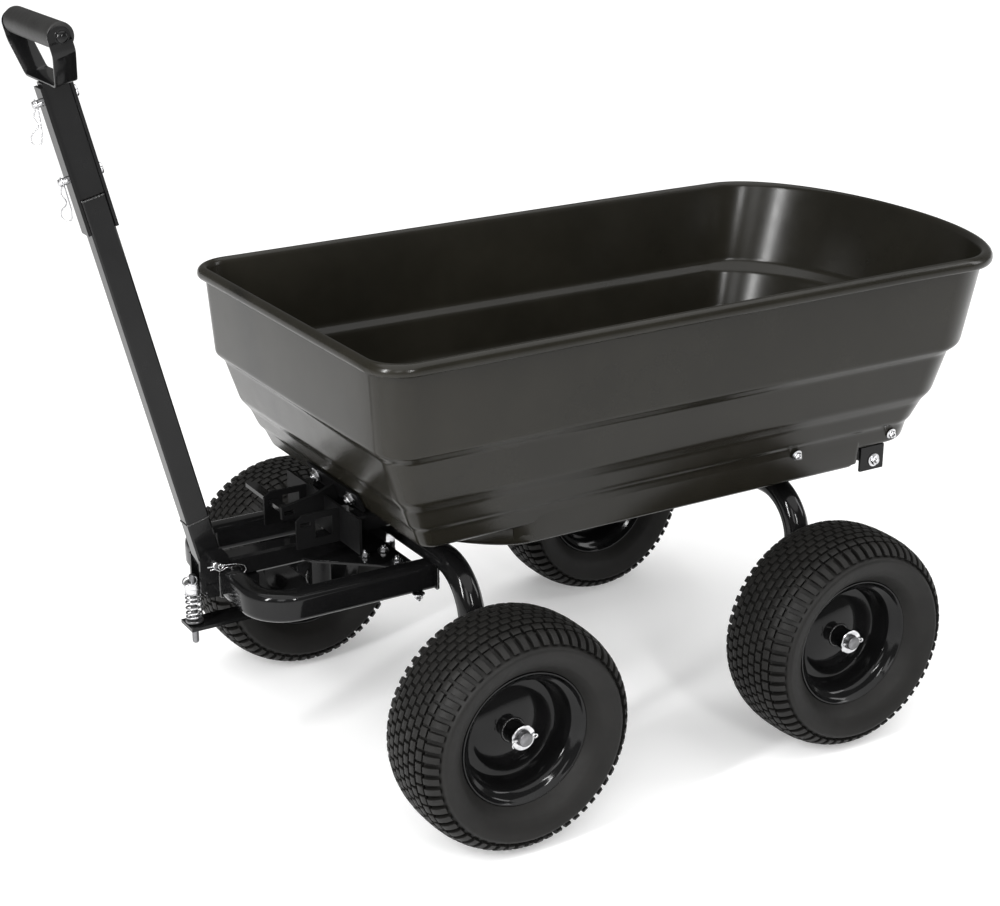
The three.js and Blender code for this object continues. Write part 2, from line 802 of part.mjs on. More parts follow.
// The stem swings on the lower pin; its upper hole is open at one side.
function stemGeometry() {
  const body = box(-HALF_DEPTH + 0.2, HALF_DEPTH - 0.2, -12, 12, TUBE_END + 4, STRAP_BASE_S - 2 - FIT);
  const foldHole = rod(v3(-30, 0, FOLD_S), v3(30, 0, FOLD_S), HITCH_PIN_R + 0.5);
  const hitchHole = rod(v3(-30, 0, HITCH_S), v3(30, 0, HITCH_S), HITCH_PIN_R + 0.5);
  const slot = box(-30, 30, 0, 30, HITCH_S - HITCH_PIN_R - 1.4, HITCH_S + HITCH_PIN_R + 0.5);
  return cut(body, foldHole, hitchHole, slot);
}

const STRAP_Y = 103;
const STRAP_BASE_Y = 66;
const STRAP_T = 4;
const GRIP_X = 4;
const GRIP_BOLT_R = 4;
const GRIP_HOLE_R = 4.6;

function gripBore() {
  return rod(v3(GRIP_X, -STRAP_Y - 17, GRIP_S), v3(GRIP_X, STRAP_Y + 17, GRIP_S), GRIP_HOLE_R, 16);
}

function strapGeometry() {
  const corners = [
    v3(0, -STRAP_Y, GRIP_S + 17),
    v3(0, -STRAP_Y, GRIP_S - 24),
    v3(0, -STRAP_BASE_Y, STRAP_BASE_S),
    v3(0, STRAP_BASE_Y, STRAP_BASE_S),
    v3(0, STRAP_Y, GRIP_S - 24),
    v3(0, STRAP_Y, GRIP_S + 17),
  ];
  const strap = sweep(rounded(corners, 9, 3), boxSection(STRAP_T, 36, 1), v3(1, 0, 0));
  return cut(strap, gripBore());
}

function gripGeometry() {
  const end = STRAP_Y - 2 - FIT;
  const bar = rod(v3(GRIP_X, -end, GRIP_S), v3(GRIP_X, end, GRIP_S), GRIP_R, 24);
  return cut(bar, gripBore());
}

function gripBoltGeometry() {
  const at = (y) => v3(GRIP_X, y, GRIP_S);
  const heads = [-1, 1].map((side) => rod(at(side * (STRAP_Y + 2 + FIT)), at(side * (STRAP_Y + 7)), 9, 16));
  return join(rod(at(-STRAP_Y - 5), at(STRAP_Y + 5), GRIP_BOLT_R, 16), ...heads);
}

// ---- assembly -----------------------------------------------------------
for (const [tag, x, side] of [
  ["fl", AXLE_FRONT_X, -1],
  ["fr", AXLE_FRONT_X, 1],
  ["rl", AXLE_REAR_X, -1],
  ["rr", AXLE_REAR_X, 1],
]) {
  addWheel(tag, x, side);
}

add("front_axle_tube", frontBeamGeometry(), "powderCoat");
add("rear_axle_tube", beamGeometry(AXLE_REAR_X), "powderCoat");

add("front_bolster", bolsterGeometry(), "powderCoat");
add("rear_axle_pad", rearPadGeometry(), "powderCoat");
add("kingpin", kingpinGeometry(), "zinc");
add("hinge_bar", hingeBarGeometry(), "powderCoat");
add("latch_bracket", latchBracketGeometry(), "powderCoat");

add("tub_shell", tubGeometry(), "poly");
add("tub_front_bracket", tubFrontBracketGeometry(), "powderCoat");

add("steer_saddle", saddleGeometry(), "powderCoat");
add("tongue_bar", tongueBarGeometry(), "powderCoat");
add("tow_yoke", yokeGeometry(), "powderCoat");
add("handle_pin", handlePinGeometry(), "zinc");
add("spring_cup", springCupGeometry(), "zinc");
add("tow_pin", towPinGeometry(), "zinc");
add("tow_pin_spring", towSpringGeometry(), "zinc");

for (const [tag, side] of [
  ["left", -1],
  ["right", 1],
]) {
  add(`rail_${tag}`, railGeometry(side), "powderCoat");
  add(`pivot_bolt_${tag}`, pivotBoltGeometry(side), "zinc");
  add(`tub_hinge_bracket_${tag}`, sideBracketGeometry(side), "powderCoat");
  add(`front_bolt_${tag}`, frontBoltGeometry(side * FRONT_BOLT_Y), "zinc");
  add(`tow_arm_${tag}`, towArmGeometry(side), "powderCoat");
}

const releaseBar = box(RELEASE_X - 9, RELEASE_X + 9, 8, 158, RELEASE_Z - 3.6, RELEASE_Z + 3.6);
add("release_bar", releaseBar, "powderCoat");

add("handle_tube", handleTubeGeometry(), "powderCoat", handle);
add("clevis_plate_front", clevisPlateGeometry(-1), "powderCoat", handle);
add("clevis_plate_rear", clevisPlateGeometry(1), "powderCoat", handle);
add("fold_pin", hitchPinGeometry(FOLD_S), "zinc", handle);
add("hitch_pin", hitchPinGeometry(HITCH_S), "zinc", handle);
add("grip_stem", stemGeometry(), "powderCoat", handle);
add("grip_strap", strapGeometry(), "powderCoat", handle);
add("grip", gripGeometry(), "gripPlastic", handle);
add("grip_bolt", gripBoltGeometry(), "zinc", handle);

export default cart;
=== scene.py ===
"""Tow-behind dump cart: materials, fine shapes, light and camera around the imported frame."""

import json
import math

import bpy
from mathutils import Matrix, Vector


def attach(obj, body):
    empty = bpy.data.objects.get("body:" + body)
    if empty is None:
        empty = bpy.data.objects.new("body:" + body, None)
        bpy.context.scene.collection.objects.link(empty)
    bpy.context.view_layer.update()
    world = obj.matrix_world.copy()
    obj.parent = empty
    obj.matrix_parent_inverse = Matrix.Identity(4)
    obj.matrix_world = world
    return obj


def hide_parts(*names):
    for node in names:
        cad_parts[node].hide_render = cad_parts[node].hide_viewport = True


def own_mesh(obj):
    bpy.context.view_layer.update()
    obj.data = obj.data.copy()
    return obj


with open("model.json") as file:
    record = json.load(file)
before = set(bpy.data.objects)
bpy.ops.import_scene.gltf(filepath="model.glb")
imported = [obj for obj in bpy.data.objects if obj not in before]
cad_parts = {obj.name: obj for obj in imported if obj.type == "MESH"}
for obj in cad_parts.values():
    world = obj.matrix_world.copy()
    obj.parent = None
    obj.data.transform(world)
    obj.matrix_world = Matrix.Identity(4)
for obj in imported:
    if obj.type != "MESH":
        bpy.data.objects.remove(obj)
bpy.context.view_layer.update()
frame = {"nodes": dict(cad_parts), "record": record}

MM = 0.001
X_SHIFT = 49.04 * MM


# ---- mesh helpers ---------------------------------------------------------
def piece(name, verts, faces, material, body, slot, replaces=(), sharp=35):
    """A smooth-shaded mesh that rides on a CAD body and takes the material it is given."""
    mesh = bpy.data.meshes.new(name)
    mesh.from_pydata([tuple(v) for v in verts], [], faces)
    mesh.validate()
    mesh.shade_smooth()
    mesh.set_sharp_from_angle(angle=math.radians(sharp))
    return place(name, mesh, material, body, replaces)


def build_mesh(name, part, sharp=35):
    """Smooth-shaded mesh that keeps edges sharper than an angle in degrees."""
    mesh = bpy.data.meshes.new(name)
    mesh.from_pydata([tuple(v) for v in part[0]], [], part[1])
    mesh.shade_smooth()
    mesh.set_sharp_from_angle(angle=math.radians(sharp))
    return mesh


def place(name, mesh, material, body, replaces=(), matrix=None):
    """Put a mesh in the scene, parent it to the body it rides on and hide the CAD nodes it stands for."""
    obj = bpy.data.objects.new(name, mesh)
    bpy.context.scene.collection.objects.link(obj)
    if matrix is not None:
        obj.matrix_world = matrix
    if not mesh.materials:
        mesh.materials.append(material)
    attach(obj, body)
    if replaces:
        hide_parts(*replaces)
    return obj


def ring_faces(rows, count, loop=False):
    faces = []
    last = rows if loop else rows - 1
    for i in range(last):
        a = i * count
        b = ((i + 1) % rows) * count
        for j in range(count):
            k = (j + 1) % count
            faces.append((a + j, a + k, b + k, b + j))
    return faces


def signed_volume(verts, faces):
    total = 0.0
    for f in faces:
        for i in range(1, len(f) - 1):
            total += Vector(verts[f[0]]).dot(Vector(verts[f[i]]).cross(Vector(verts[f[i + 1]])))
    return total


def outward(verts, faces):
    if signed_volume(verts, faces) < 0:
        return [tuple(reversed(f)) for f in faces]
    return faces


def loft(rings, loop=False):
    """Closed skin through rings of equal count; ends are capped unless it is a loop."""
    count = len(rings[0])
    verts = [Vector(p) for ring in rings for p in ring]
    faces = ring_faces(len(rings), count, loop=loop)
    if not loop:
        faces.append(tuple(reversed(range(count))))
        faces.append(tuple(range(len(verts) - count, len(verts))))
    return verts, outward(verts, faces)


def combined(parts):
    verts, faces = [], []
    for v, f in parts:
        base = len(verts)
        verts += list(v)
        faces += [tuple(i + base for i in face) for face in f]
    return verts, faces


def revolve(profile, segments):
    """Turns a closed [radius, y] profile (mm) about Y into a ring."""
    rings = []
    for i in range(segments):
        a = 2 * math.pi * (i + 0.5) / segments
        rings.append([Vector((r * math.sin(a), y, -r * math.cos(a))) * MM for r, y in profile])
    return loft(rings, loop=True)


def soften(points, radius, steps=3, loop=False):
    """Rounds the corners of a polyline of equal-length tuples."""
    count = len(points)
    out = []
    for i, p in enumerate(points):
        if not loop and i in (0, count - 1):
            out.append(tuple(p))
            continue
        before, after = points[i - 1], points[(i + 1) % count]
        here = list(p)
        ends = []
        for other in (before, after):
            d = [b - a for a, b in zip(here, other)]
            length = math.sqrt(sum(v * v for v in d)) or 1
            reach = min(radius, 0.45 * length)
            ends.append([a + v * reach / length for a, v in zip(here, d)])
        for k in range(steps + 1):
            t = k / steps
            out.append(
                tuple(
                    (1 - t) ** 2 * a + 2 * t * (1 - t) * b + t * t * c
                    for a, b, c in zip(ends[0], here, ends[1])
                )
            )
    return out


def sweep(path, section, hint, loop=False):
    """Sweeps a section (mm) along points (mm); hint gives the section's second axis."""
    path = [Vector(p) for p in path]
    hint = Vector(hint)
    count = len(path)
    rings = []
    for i, p in enumerate(path):
        before = path[(i - 1) % count] if loop else path[max(i - 1, 0)]
        after = path[(i + 1) % count] if loop else path[min(i + 1, count - 1)]
        tangent = (after - before).normalized()
        up = (hint - tangent * hint.dot(tangent)).normalized()
        side = up.cross(tangent)
        rings.append([(p + side * a + up * b) * MM for a, b in section])
    return loft(rings, loop)


def circle(radius, count):
    return [
        (radius * math.cos(2 * math.pi * i / count), radius * math.sin(2 * math.pi * i / count))
        for i in range(count)
    ]


def lathe_on(axis_from, axis_to, stations, segments=40):
    """Turned solid along a line; stations are (distance from start, radius) in mm."""
    start, end = Vector(axis_from), Vector(axis_to)
    along = (end - start).normalized()
    hint = Vector((0, 0, 1)) if abs(along.z) < 0.9 else Vector((1, 0, 0))
    side = along.cross(hint).normalized()
    up = side.cross(along)
    rings = []
    for d, r in stations:
        centre = start + along * d
        rings.append([(centre + side * a + up * b) * MM for a, b in circle(r, segments)])
    return loft(rings)


def hex_head(start, along, across, height):
    """Chamfered hexagon standing on start and growing along a direction."""
    start, along = Vector(start), Vector(along).normalized()
    hint = Vector((0, 0, 1)) if abs(along.z) < 0.9 else Vector((1, 0, 0))
    side = along.cross(hint).normalized()
    up = side.cross(along)
    rings = []
    for d, scale in ((0, 1), (height * 0.88, 1), (height, 0.92)):
        ring = []
        for i in range(6):
            a = math.pi * i / 3
            r = across / math.sqrt(3) * scale
            ring.append((start + along * d + side * r * math.cos(a) + up * r * math.sin(a)) * MM)
        rings.append(ring)
    return loft(rings)


def flanged_bolt(start, along, across, height):
    """Washer, hexagon and the domed end of the thread, as one set of shells."""
    start, along = Vector(start), Vector(along).normalized()
    washer_r = across * 0.84
    washer_t = 1.9
    washer = lathe_on(
        start,
        start + along,
        [(0, across * 0.82), (0.4, washer_r), (washer_t - 0.3, washer_r), (washer_t, across * 0.8)],
    )
    head = hex_head(start + along * washer_t, along, across, height)
    thread_r = across * 0.28
    tip = lathe_on(
        start + along * (washer_t + height),
        start + along * 40,
        [(-0.2, thread_r), (3.6, thread_r), (4.4, across * 0.22)],
        20,
    )
    return combined([washer, head, tip])


# ---- materials ------------------------------------------------------------
def finish(
    name, dark, light, rough, metallic=0.0, mottle=9.0, grain=0.0, grain_size=0.001, coat=0.0, scuffs=0.0,
    specular=0.5,
):
    """Node material: mottled colour, uneven roughness, surface grain and faint scuffs."""
    material = bpy.data.materials.new(name)
    material.use_nodes = True
    nodes, links = material.node_tree.nodes, material.node_tree.links
    shader = nodes["Principled BSDF"]
    shader.inputs["Metallic"].default_value = metallic
    shader.inputs["Coat Weight"].default_value = coat
    shader.inputs["Specular IOR Level"].default_value = specular
    shader.inputs["Coat Roughness"].default_value = 0.06
    where = nodes.new("ShaderNodeTexCoord")
    cloud = nodes.new("ShaderNodeTexNoise")
    cloud.inputs["Scale"].default_value = mottle
    cloud.inputs["Detail"].default_value = 7
    cloud.inputs["Roughness"].default_value = 0.62
    links.new(where.outputs["Object"], cloud.inputs["Vector"])
    ramp = nodes.new("ShaderNodeValToRGB")
    ramp.color_ramp.elements[0].position = 0.3
    ramp.color_ramp.elements[0].color = (*dark, 1)
    ramp.color_ramp.elements[1].position = 0.72
    ramp.color_ramp.elements[1].color = (*light, 1)
    links.new(cloud.outputs["Fac"], ramp.inputs["Fac"])
    links.new(ramp.outputs["Color"], shader.inputs["Base Color"])
    spread = nodes.new("ShaderNodeMapRange")
    spread.inputs["To Min"].default_value = rough[0]
    spread.inputs["To Max"].default_value = rough[1]
    fine = nodes.new("ShaderNodeTexNoise")
    fine.inputs["Scale"].default_value = mottle * 6
    fine.inputs["Detail"].default_value = 5
    links.new(where.outputs["Object"], fine.inputs["Vector"])
    rough_source = fine.outputs["Fac"]
    if scuffs:
        streak = nodes.new("ShaderNodeTexNoise")
        streak.inputs["Scale"].default_value = 30
        streak.inputs["Detail"].default_value = 9
        streak.inputs["Distortion"].default_value = 2.5
        stretch = nodes.new("ShaderNodeMapping")
        stretch.inputs["Scale"].default_value = (0.3, 0.3, 2.4)
        links.new(where.outputs["Object"], stretch.inputs["Vector"])
        links.new(stretch.outputs["Vector"], streak.inputs["Vector"])
        add = nodes.new("ShaderNodeMath")
        add.operation = "MULTIPLY_ADD"
        add.inputs[1].default_value = scuffs
        links.new(streak.outputs["Fac"], add.inputs[0])
        links.new(fine.outputs["Fac"], add.inputs[2])
        rough_source = add.outputs["Value"]
    links.new(rough_source, spread.inputs["Value"])
    links.new(spread.outputs["Result"], shader.inputs["Roughness"])
    if grain:
        pebble = nodes.new("ShaderNodeTexNoise")
        pebble.inputs["Scale"].default_value = 1 / grain_size
        pebble.inputs["Detail"].default_value = 3
        links.new(where.outputs["Object"], pebble.inputs["Vector"])
        bump = nodes.new("ShaderNodeBump")
        bump.inputs["Strength"].default_value = grain
        bump.inputs["Distance"].default_value = 0.0006
        links.new(pebble.outputs["Fac"], bump.inputs["Height"])
        links.new(bump.outputs["Normal"], shader.inputs["Normal"])
    return material


POLY = finish(
    "poly_satin", (0.0080, 0.0073, 0.0052), (0.0134, 0.0122, 0.0090), (0.18, 0.28),
    mottle=5, grain=0.08, grain_size=0.0016, scuffs=0.12, specular=0.24,
)
COAT = finish(
    "powder_gloss", (0.0035, 0.0035, 0.0036), (0.0060, 0.0060, 0.0062), (0.08, 0.15),
    mottle=12, grain=0.10, grain_size=0.0030, coat=0.08, specular=0.16,
)
# Darker, less glossy copy of the black powder coat: painted shade for the front and latch brackets under the
# tub.
SHADED_COAT = finish(
    "powder_coat_painted_shade", (0.0030, 0.0030, 0.0031), (0.0052, 0.0052, 0.0054), (0.42, 0.58),
    mottle=12, grain=0.12, grain_size=0.0030, specular=0.06,
)
TYRE = finish(
    "tyre_rubber", (0.0046, 0.0044, 0.0040), (0.0084, 0.0079, 0.0072), (0.50, 0.66),
    mottle=14, grain=0.18, grain_size=0.0012, specular=0.22,
)
ZINC = finish(
    "zinc_plate", (0.38, 0.38, 0.39), (0.68, 0.68, 0.69), (0.18, 0.32),
    metallic=1.0, mottle=60, grain=0.10, grain_size=0.0015,
)
# Dark base colour is painted shade: it stands in for the shaded bore at the axle ends, and the tow pin shares
# it.
STEEL = finish(
    "turned_steel", (0.10, 0.10, 0.10), (0.24, 0.24, 0.25), (0.30, 0.46),
    metallic=1.0, mottle=50, grain=0.12, grain_size=0.001,
)
GRIP = finish(
    "grip_moulding", (0.0085, 0.0083, 0.0081), (0.0145, 0.0142, 0.0138), (0.40, 0.54),
    mottle=20, grain=0.16, grain_size=0.0009, specular=0.3,
)
WELD = finish(
    "painted_weld", (0.005, 0.005, 0.005), (0.010, 0.010, 0.010), (0.12, 0.26),
    mottle=80, grain=0.4, grain_size=0.003, coat=0.4,
)

FINISH = {
    "poly_tub": POLY,
    "black_powder_coat": COAT,
    "foam_tyre": TYRE,
    "zinc": ZINC,
    "bare_steel": STEEL,
    "grip_plastic": GRIP,
}

# Every CAD node takes its slot's finish, except the front and latch brackets, which take a darker, duller
# copy of the powder coat as painted shade; those still shown get soft edges as well.
SLOT_OF = {part["node"]: part["material_slot"] for part in frame["record"]["subparts"]}
BEVELLED = {
    "front_bolster": 1.2,
    "rear_axle_pad": 1.2,
    "hinge_bar": 2.0,
    "latch_bracket": 1.0,
    "tub_front_bracket": 1.0,
    "steer_saddle": 1.2,
    "tongue_bar": 2.5,
    "tow_yoke": 1.2,
    "rail_left": 2.0,
    "rail_right": 2.0,
    "tub_hinge_bracket_left": 1.0,
    "tub_hinge_bracket_right": 1.0,
    "tow_arm_left": 3.0,
    "tow_arm_right": 3.0,
    "release_bar": 0.8,
    "clevis_plate_front": 1.2,
    "clevis_plate_rear": 1.2,
    "grip_stem": 1.5,
    "handle_tube": 3.0,
}
# These brackets take the painted-shade copy of the powder coat instead of their slot's finish.
SHADED_NODES = ("tub_front_bracket", "latch_bracket")
for node, obj in frame["nodes"].items():
    finish_here = SHADED_COAT if node in SHADED_NODES else FINISH[SLOT_OF[node]]
    obj.data.materials.clear()
    obj.data.materials.append(finish_here)
    if node in BEVELLED:
        bevel = obj.modifiers.new("soft_edges", "BEVEL")
        bevel.width = BEVELLED[node] * MM
        bevel.segments = 3
        bevel.limit_method = "ANGLE"
        bevel.angle_limit = math.radians(32)
        bevel.harden_normals = True


# ---- wheels ---------------------------------------------------------------
AXLE_X = 0.346
TRACK_HALF = 0.407
WHEELS = {
    "fl": (-AXLE_X + X_SHIFT, -TRACK_HALF),
    "fr": (-AXLE_X + X_SHIFT, TRACK_HALF),
    "rl": (AXLE_X + X_SHIFT, -TRACK_HALF),
    "rr": (AXLE_X + X_SHIFT, TRACK_HALF),
}
WHEEL_R = 203.2
AXLE_Z = WHEEL_R * MM
LUG_COUNT = 60
BLOCK_ROWS = 7
BLOCK_PITCH = 16.4
BLOCK_HALF = 6.2


def tyre_profile():
    """Carcass section at groove depth, as [radius, y], crown in the middle."""
    side = [
        (195.8, 30), (192.4, 44), (187.0, 56), (180.6, 66), (175.8, 74), (173.2, 79.4), (171.6, 82.2),
        (169.8, 84.0), (168.0, 85.0), (165.6, 85.4), (163, 85.0), (155, 83.4), (146, 79.6), (136, 73.2),
        (128, 64.2), (123.2, 57.6), (120.2, 53.4), (111, 44.4), (103.2, 37),
    ]
    mirror = [(r, -y) for r, y in side]
    crown = [(197.4, 15), (197.8, 0), (197.4, -15)]
    return list(reversed(side)) + crown + mirror


def crown_point(y):
    """Outer tread surface radius at a distance from the wheel's middle plane."""
    table = [
        (0, WHEEL_R), (20, 202.8), (38, 201), (52, 197.6), (62, 194.2), (71, 189.4), (77, 184.4), (82, 178),
    ]
    y = abs(y)
    for (ya, ra), (yb, rb) in zip(table, table[1:]):
        if y <= yb:
            return ra + (rb - ra) * (y - ya) / (yb - ya)
    return table[-1][1]


def tread_block(angle, half_angle, y_lo, y_hi, steps, depth, lean=0.0):
    """One raised block that follows the crown, with a chamfered top."""
    chamfer = 0.9
    rings = []
    for i in range(steps + 1):
        t = i / steps
        y = y_lo + (y_hi - y_lo) * t
        r = crown_point(y)
        slope = crown_point(y + 0.5) - crown_point(y - 0.5)
        if abs(y) >= 81:
            slope = -2.0 if y > 0 else 2.0
        normal = Vector((1, -slope)).normalized()
        skew = lean * (t - 0.5)
        edge = chamfer if i in (0, steps) else 0.0
        half_section = [(0.9, -edge), (1, -chamfer), (1, -depth)]
        ring = []
        for a_scale, lift in [(-scale, drop) for scale, drop in reversed(half_section)] + half_section:
            a = angle + skew + half_angle * a_scale
            rr = r + normal.x * lift
            yy = y + normal.y * lift
            ring.append(Vector((rr * math.sin(a), yy, -rr * math.cos(a))) * MM)
        rings.append(ring)
    return loft(rings)


def tyre_mesh():
    parts = [revolve(soften(tyre_profile(), 3, 2), 128)]
    step = 2 * math.pi / LUG_COUNT
    for i in range(LUG_COUNT):
        for side in (-1, 1):
            parts.append(tread_block(i * step, step * 0.28, side * 58.5, side * 82.4, 5, 15, side * 0.012))
        for row in range(BLOCK_ROWS):
            middle = (row - BLOCK_ROWS // 2) * BLOCK_PITCH
            shift = 0.5 if row % 2 else 0.0
            y_lo, y_hi = middle - BLOCK_HALF, middle + BLOCK_HALF
            parts.append(tread_block((i + shift) * step, step * 0.38, y_lo, y_hi, 3, 5.8))
    return build_mesh("tyre", combined(parts), 28)


def rim_profile():
    face = [
        (19.0, 13.4), (24, 13.6), (36, 12.4), (50, 9.4), (62, 5.2), (68, 2.2), (71, 0.4), (73.5, -0.4),
        (78, -0.8), (84, -0.6), (88, 0.4), (90.6, 3.0), (92, 8), (94.6, 24), (96.6, 34), (99.2, 39.6),
        (103.6, 43.2), (108.4, 45.6), (111.6, 48.4), (113.4, 51.8), (115.4, 54.1), (117.6, 54.5),
        (119.0, 53.2), (119.0, 51.0), (116.4, 48.4), (112, 44.8), (105, 38.6), (102, 35),
    ]
    back = [
        (102, -35), (105, -38.6), (112, -44.8), (116.4, -48.4), (119.0, -51.0), (119.0, -53.2),
        (117.6, -54.5), (115.4, -54.1), (113.4, -51.8), (111.6, -48.4), (108.4, -45.6), (103.6, -43.2),
        (99.2, -39.6), (96.6, -34), (94.6, -24), (92, -11), (89.6, -6), (84, -4), (73.5, -3.6), (68, -0.6),
        (50, 6.2), (36, 9.2), (19.0, 10.2),
    ]
    return face + back


def weld_ring(centre, axis, radius, bead, ripples):
    """Rippled fillet bead around an axis."""
    centre, axis = Vector(centre), Vector(axis).normalized()
    hint = Vector((0, 0, 1)) if abs(axis.z) < 0.9 else Vector((1, 0, 0))
    side = axis.cross(hint).normalized()
    up = side.cross(axis)
    steps = ripples * 4
    rings = []
    for i in range(steps):
        a = 2 * math.pi * i / steps
        swell = 1 + 0.16 * math.cos(ripples * a) + 0.07 * math.sin(7 * a)
        out = side * math.cos(a) + up * math.sin(a)
        size = bead * swell
        rings.append([(centre + out * (radius + size * u) + axis * size * v) * MM for u, v in circle(1, 10)])
    return loft(rings, loop=True)


def wheel_parts():
    """Meshes shared by the four wheels, modelled for the +Y outer face."""
    hub = revolve(
        [
            (13.6, -51.2), (14.4, -52), (17.8, -52), (18.6, -51.2), (18.6, 44.2), (17.8, 45), (14.4, 45),
            (13.6, 44.2), (13.6, 20), (13.6, -20),
        ],
        56,
    )
    bead_front = weld_ring((0, 13.6, 0), (0, 1, 0), 20.2, 2.6, 26)
    bead_back = weld_ring((0, 9.6, 0), (0, 1, 0), 20.2, 2.4, 26)
    washer = revolve(
        [
            (13.5, 45.6), (13.5, 48.0), (14.0, 48.2), (21.3, 48.2), (22, 47.6), (22, 46.0), (21.3, 45.4),
            (14, 45.4),
        ],
        56,
    )
    return combined([hub]), combined([bead_front, bead_back]), washer


def cotter():
    """Split pin through the axle end: closed eye on one side, legs spread on the other."""
    y = 51.2
    points = [(-20.5, y, -2.2), (-12, y, -0.9), (0, y, 0), (12, y, 0), (16, y, 0.6), (19.5, y, 3.2)]
    points += [(23, y, 2.6), (24.6, y, -0.4), (22.6, y, -3.2), (19, y, -3.2), (15.4, y, -0.9), (11, y, -0.5)]
    loop = sweep(soften(points, 3, 3), circle(1.35, 10), (0, 1, 0))
    legs = []
    for sign, reach in ((1, 11), (-1, 15)):
        leg = [(-14, y, 0), (-19, y + 0.2, sign * 0.8), (-23, y + 0.6, sign * 3.2)]
        leg += [(-24.5, y + 0.8, sign * reach * 0.6), (-22, y + 0.6, sign * reach)]
        legs.append(sweep(soften(leg, 3, 3), circle(1.1, 10), (0, 1, 0)))
    return combined([loop] + legs)


tyre_data = tyre_mesh()
hub_part, bead_part, washer_part = wheel_parts()
rim_data = build_mesh("rim", revolve(rim_profile(), 120), 30)
hub_data = build_mesh("hub", hub_part)
bead_data = build_mesh("hub_beads", bead_part, 80)
washer_data = build_mesh("axle_washer", washer_part)
cotter_data = build_mesh("cotter", cotter(), 60)
spindle_data = build_mesh(
    "spindle",
    lathe_on(
        (0, -92.7, 0),
        (0, 57, 0),
        [
            (0, 16), (0.8, 17), (39.8, 17), (40.3, 16), (40.4, 12.5), (148.2, 12.5), (149.2, 11.9),
            (149.7, 10.9),
        ],
        48,
    ),
)


def spun(data, angle):
    """Copy of a wheel mesh turned about its own axle."""
    turned = data.copy()
    turned.transform(Matrix.Rotation(angle, 4, "Y"))
    return turned


WHEEL_ANGLE = {"fl": 0.4, "fr": 1.9, "rl": 2.7, "rr": 0.9}
for tag, (x, y) in WHEELS.items():
    outward_turn = Matrix.Rotation(math.pi, 4, "Z") if y < 0 else Matrix.Identity(4)
    seat = Matrix.Translation((x, y, AXLE_Z)) @ outward_turn
    angle = WHEEL_ANGLE[tag]
    wheel = "wheel_" + tag
    fixed = "steer_axle" if tag[0] == "f" else "chassis"
    place("tyre_tread_" + tag, spun(tyre_data, angle), TYRE, wheel, ["tyre_" + tag], seat)
    place("rim_pressing_" + tag, rim_data, COAT, wheel, ["rim_" + tag], seat)
    place("hub_tube_" + tag, hub_data, COAT, wheel, ["hub_" + tag], seat)
    place("hub_weld_" + tag, spun(bead_data, angle), WELD, wheel, (), seat)
    place("axle_washer_" + tag, washer_data, ZINC, fixed, ["washer_" + tag], seat)
    pin_turn = Matrix.Rotation(math.pi, 4, "Y") if y < 0 else Matrix.Identity(4)
    place("split_pin_" + tag, cotter_data, ZINC, fixed, ["cotter_" + tag], seat @ pin_turn)
    place("axle_end_" + tag, spindle_data, STEEL, fixed, ["spindle_" + tag], seat)


# ---- axle beams -----------------------------------------------------------
LEG_Y = 291
BEAM_Z = 430
BEND_R = 92
LEG_BOTTOM_Z = 182
BEAM_R = 22.9


def beam(axle_x):
    """Bent round tube across the cart, closed at the foot of each leg."""
    x = axle_x * 1000
    half = [(x, -LEG_Y, LEG_BOTTOM_Z), (x, -LEG_Y, 260), (x, -LEG_Y, BEAM_Z - BEND_R)]
    for i in range(1, 15):
        a = math.pi / 2 * i / 14
        half.append((x, -LEG_Y + BEND_R * (1 - math.cos(a)), BEAM_Z - BEND_R * (1 - math.sin(a))))
    half.append((x, -80, BEAM_Z))
    path = half + [(px, -py, pz) for px, py, pz in reversed(half)]
    parts = [sweep(path, circle(BEAM_R, 40), (1, 0, 0))]
    for side in (-1, 1):
        cap = [(0, BEAM_R), (1.2, BEAM_R), (2.4, 22.2), (3.0, 20)]
        parts.append(lathe_on((x, side * LEG_Y, LEG_BOTTOM_Z + 2.9), (x, side * LEG_Y, 0), cap, 40))
    return combined(parts)


for node, axle, body in (
    ("front_axle_tube", -AXLE_X + X_SHIFT, "steer_axle"),
    ("rear_axle_tube", AXLE_X + X_SHIFT, "chassis"),
):
    piece("bent_" + node, *beam(axle), COAT, body, "black_powder_coat", [node], 50)
    welds = []
    for side in (-1, 1):
        centre = (axle * 1000, side * (LEG_Y + 20.5), AXLE_Z * 1000)
        welds.append(weld_ring(centre, (0, 1, 0), 18.6, 4.2, 24))
    piece("spindle_weld_" + node, *combined(welds), WELD, body, "black_powder_coat", (), 80)


# ---- tub ------------------------------------------------------------------
TUB_FRONT_X = -551
TUB_REAR_X = 840
TUB_HALF = 379.5
TUB_TOP_Z = 843
RIM_RISE = 10
RISE_FROM_Z = 682
RISE_PEAK_X = 600
CORNER_R = 67
REAR_REACH = 203
REAR_POWER = 2.06
WELL_INNER_Y = 128
WELL_REAR_X = 478
WELL_BEND_X = -225
WELL_FRONT_X = -400
WELL_CORNER = 14
X_MM = X_SHIFT / MM
WALL = 5


def rise(x, z):
    """The rim climbs towards the rear and eases down at the pouring edge."""
    share = min(max((z - RISE_FROM_Z) / (TUB_TOP_Z - RISE_FROM_Z), 0), 1)
    if x < RISE_PEAK_X:
        return RIM_RISE * share * (x - TUB_FRONT_X) / (RISE_PEAK_X - TUB_FRONT_X)
    return RIM_RISE * share * (1 - 0.5 * (x - RISE_PEAK_X) / (TUB_REAR_X - RISE_PEAK_X))


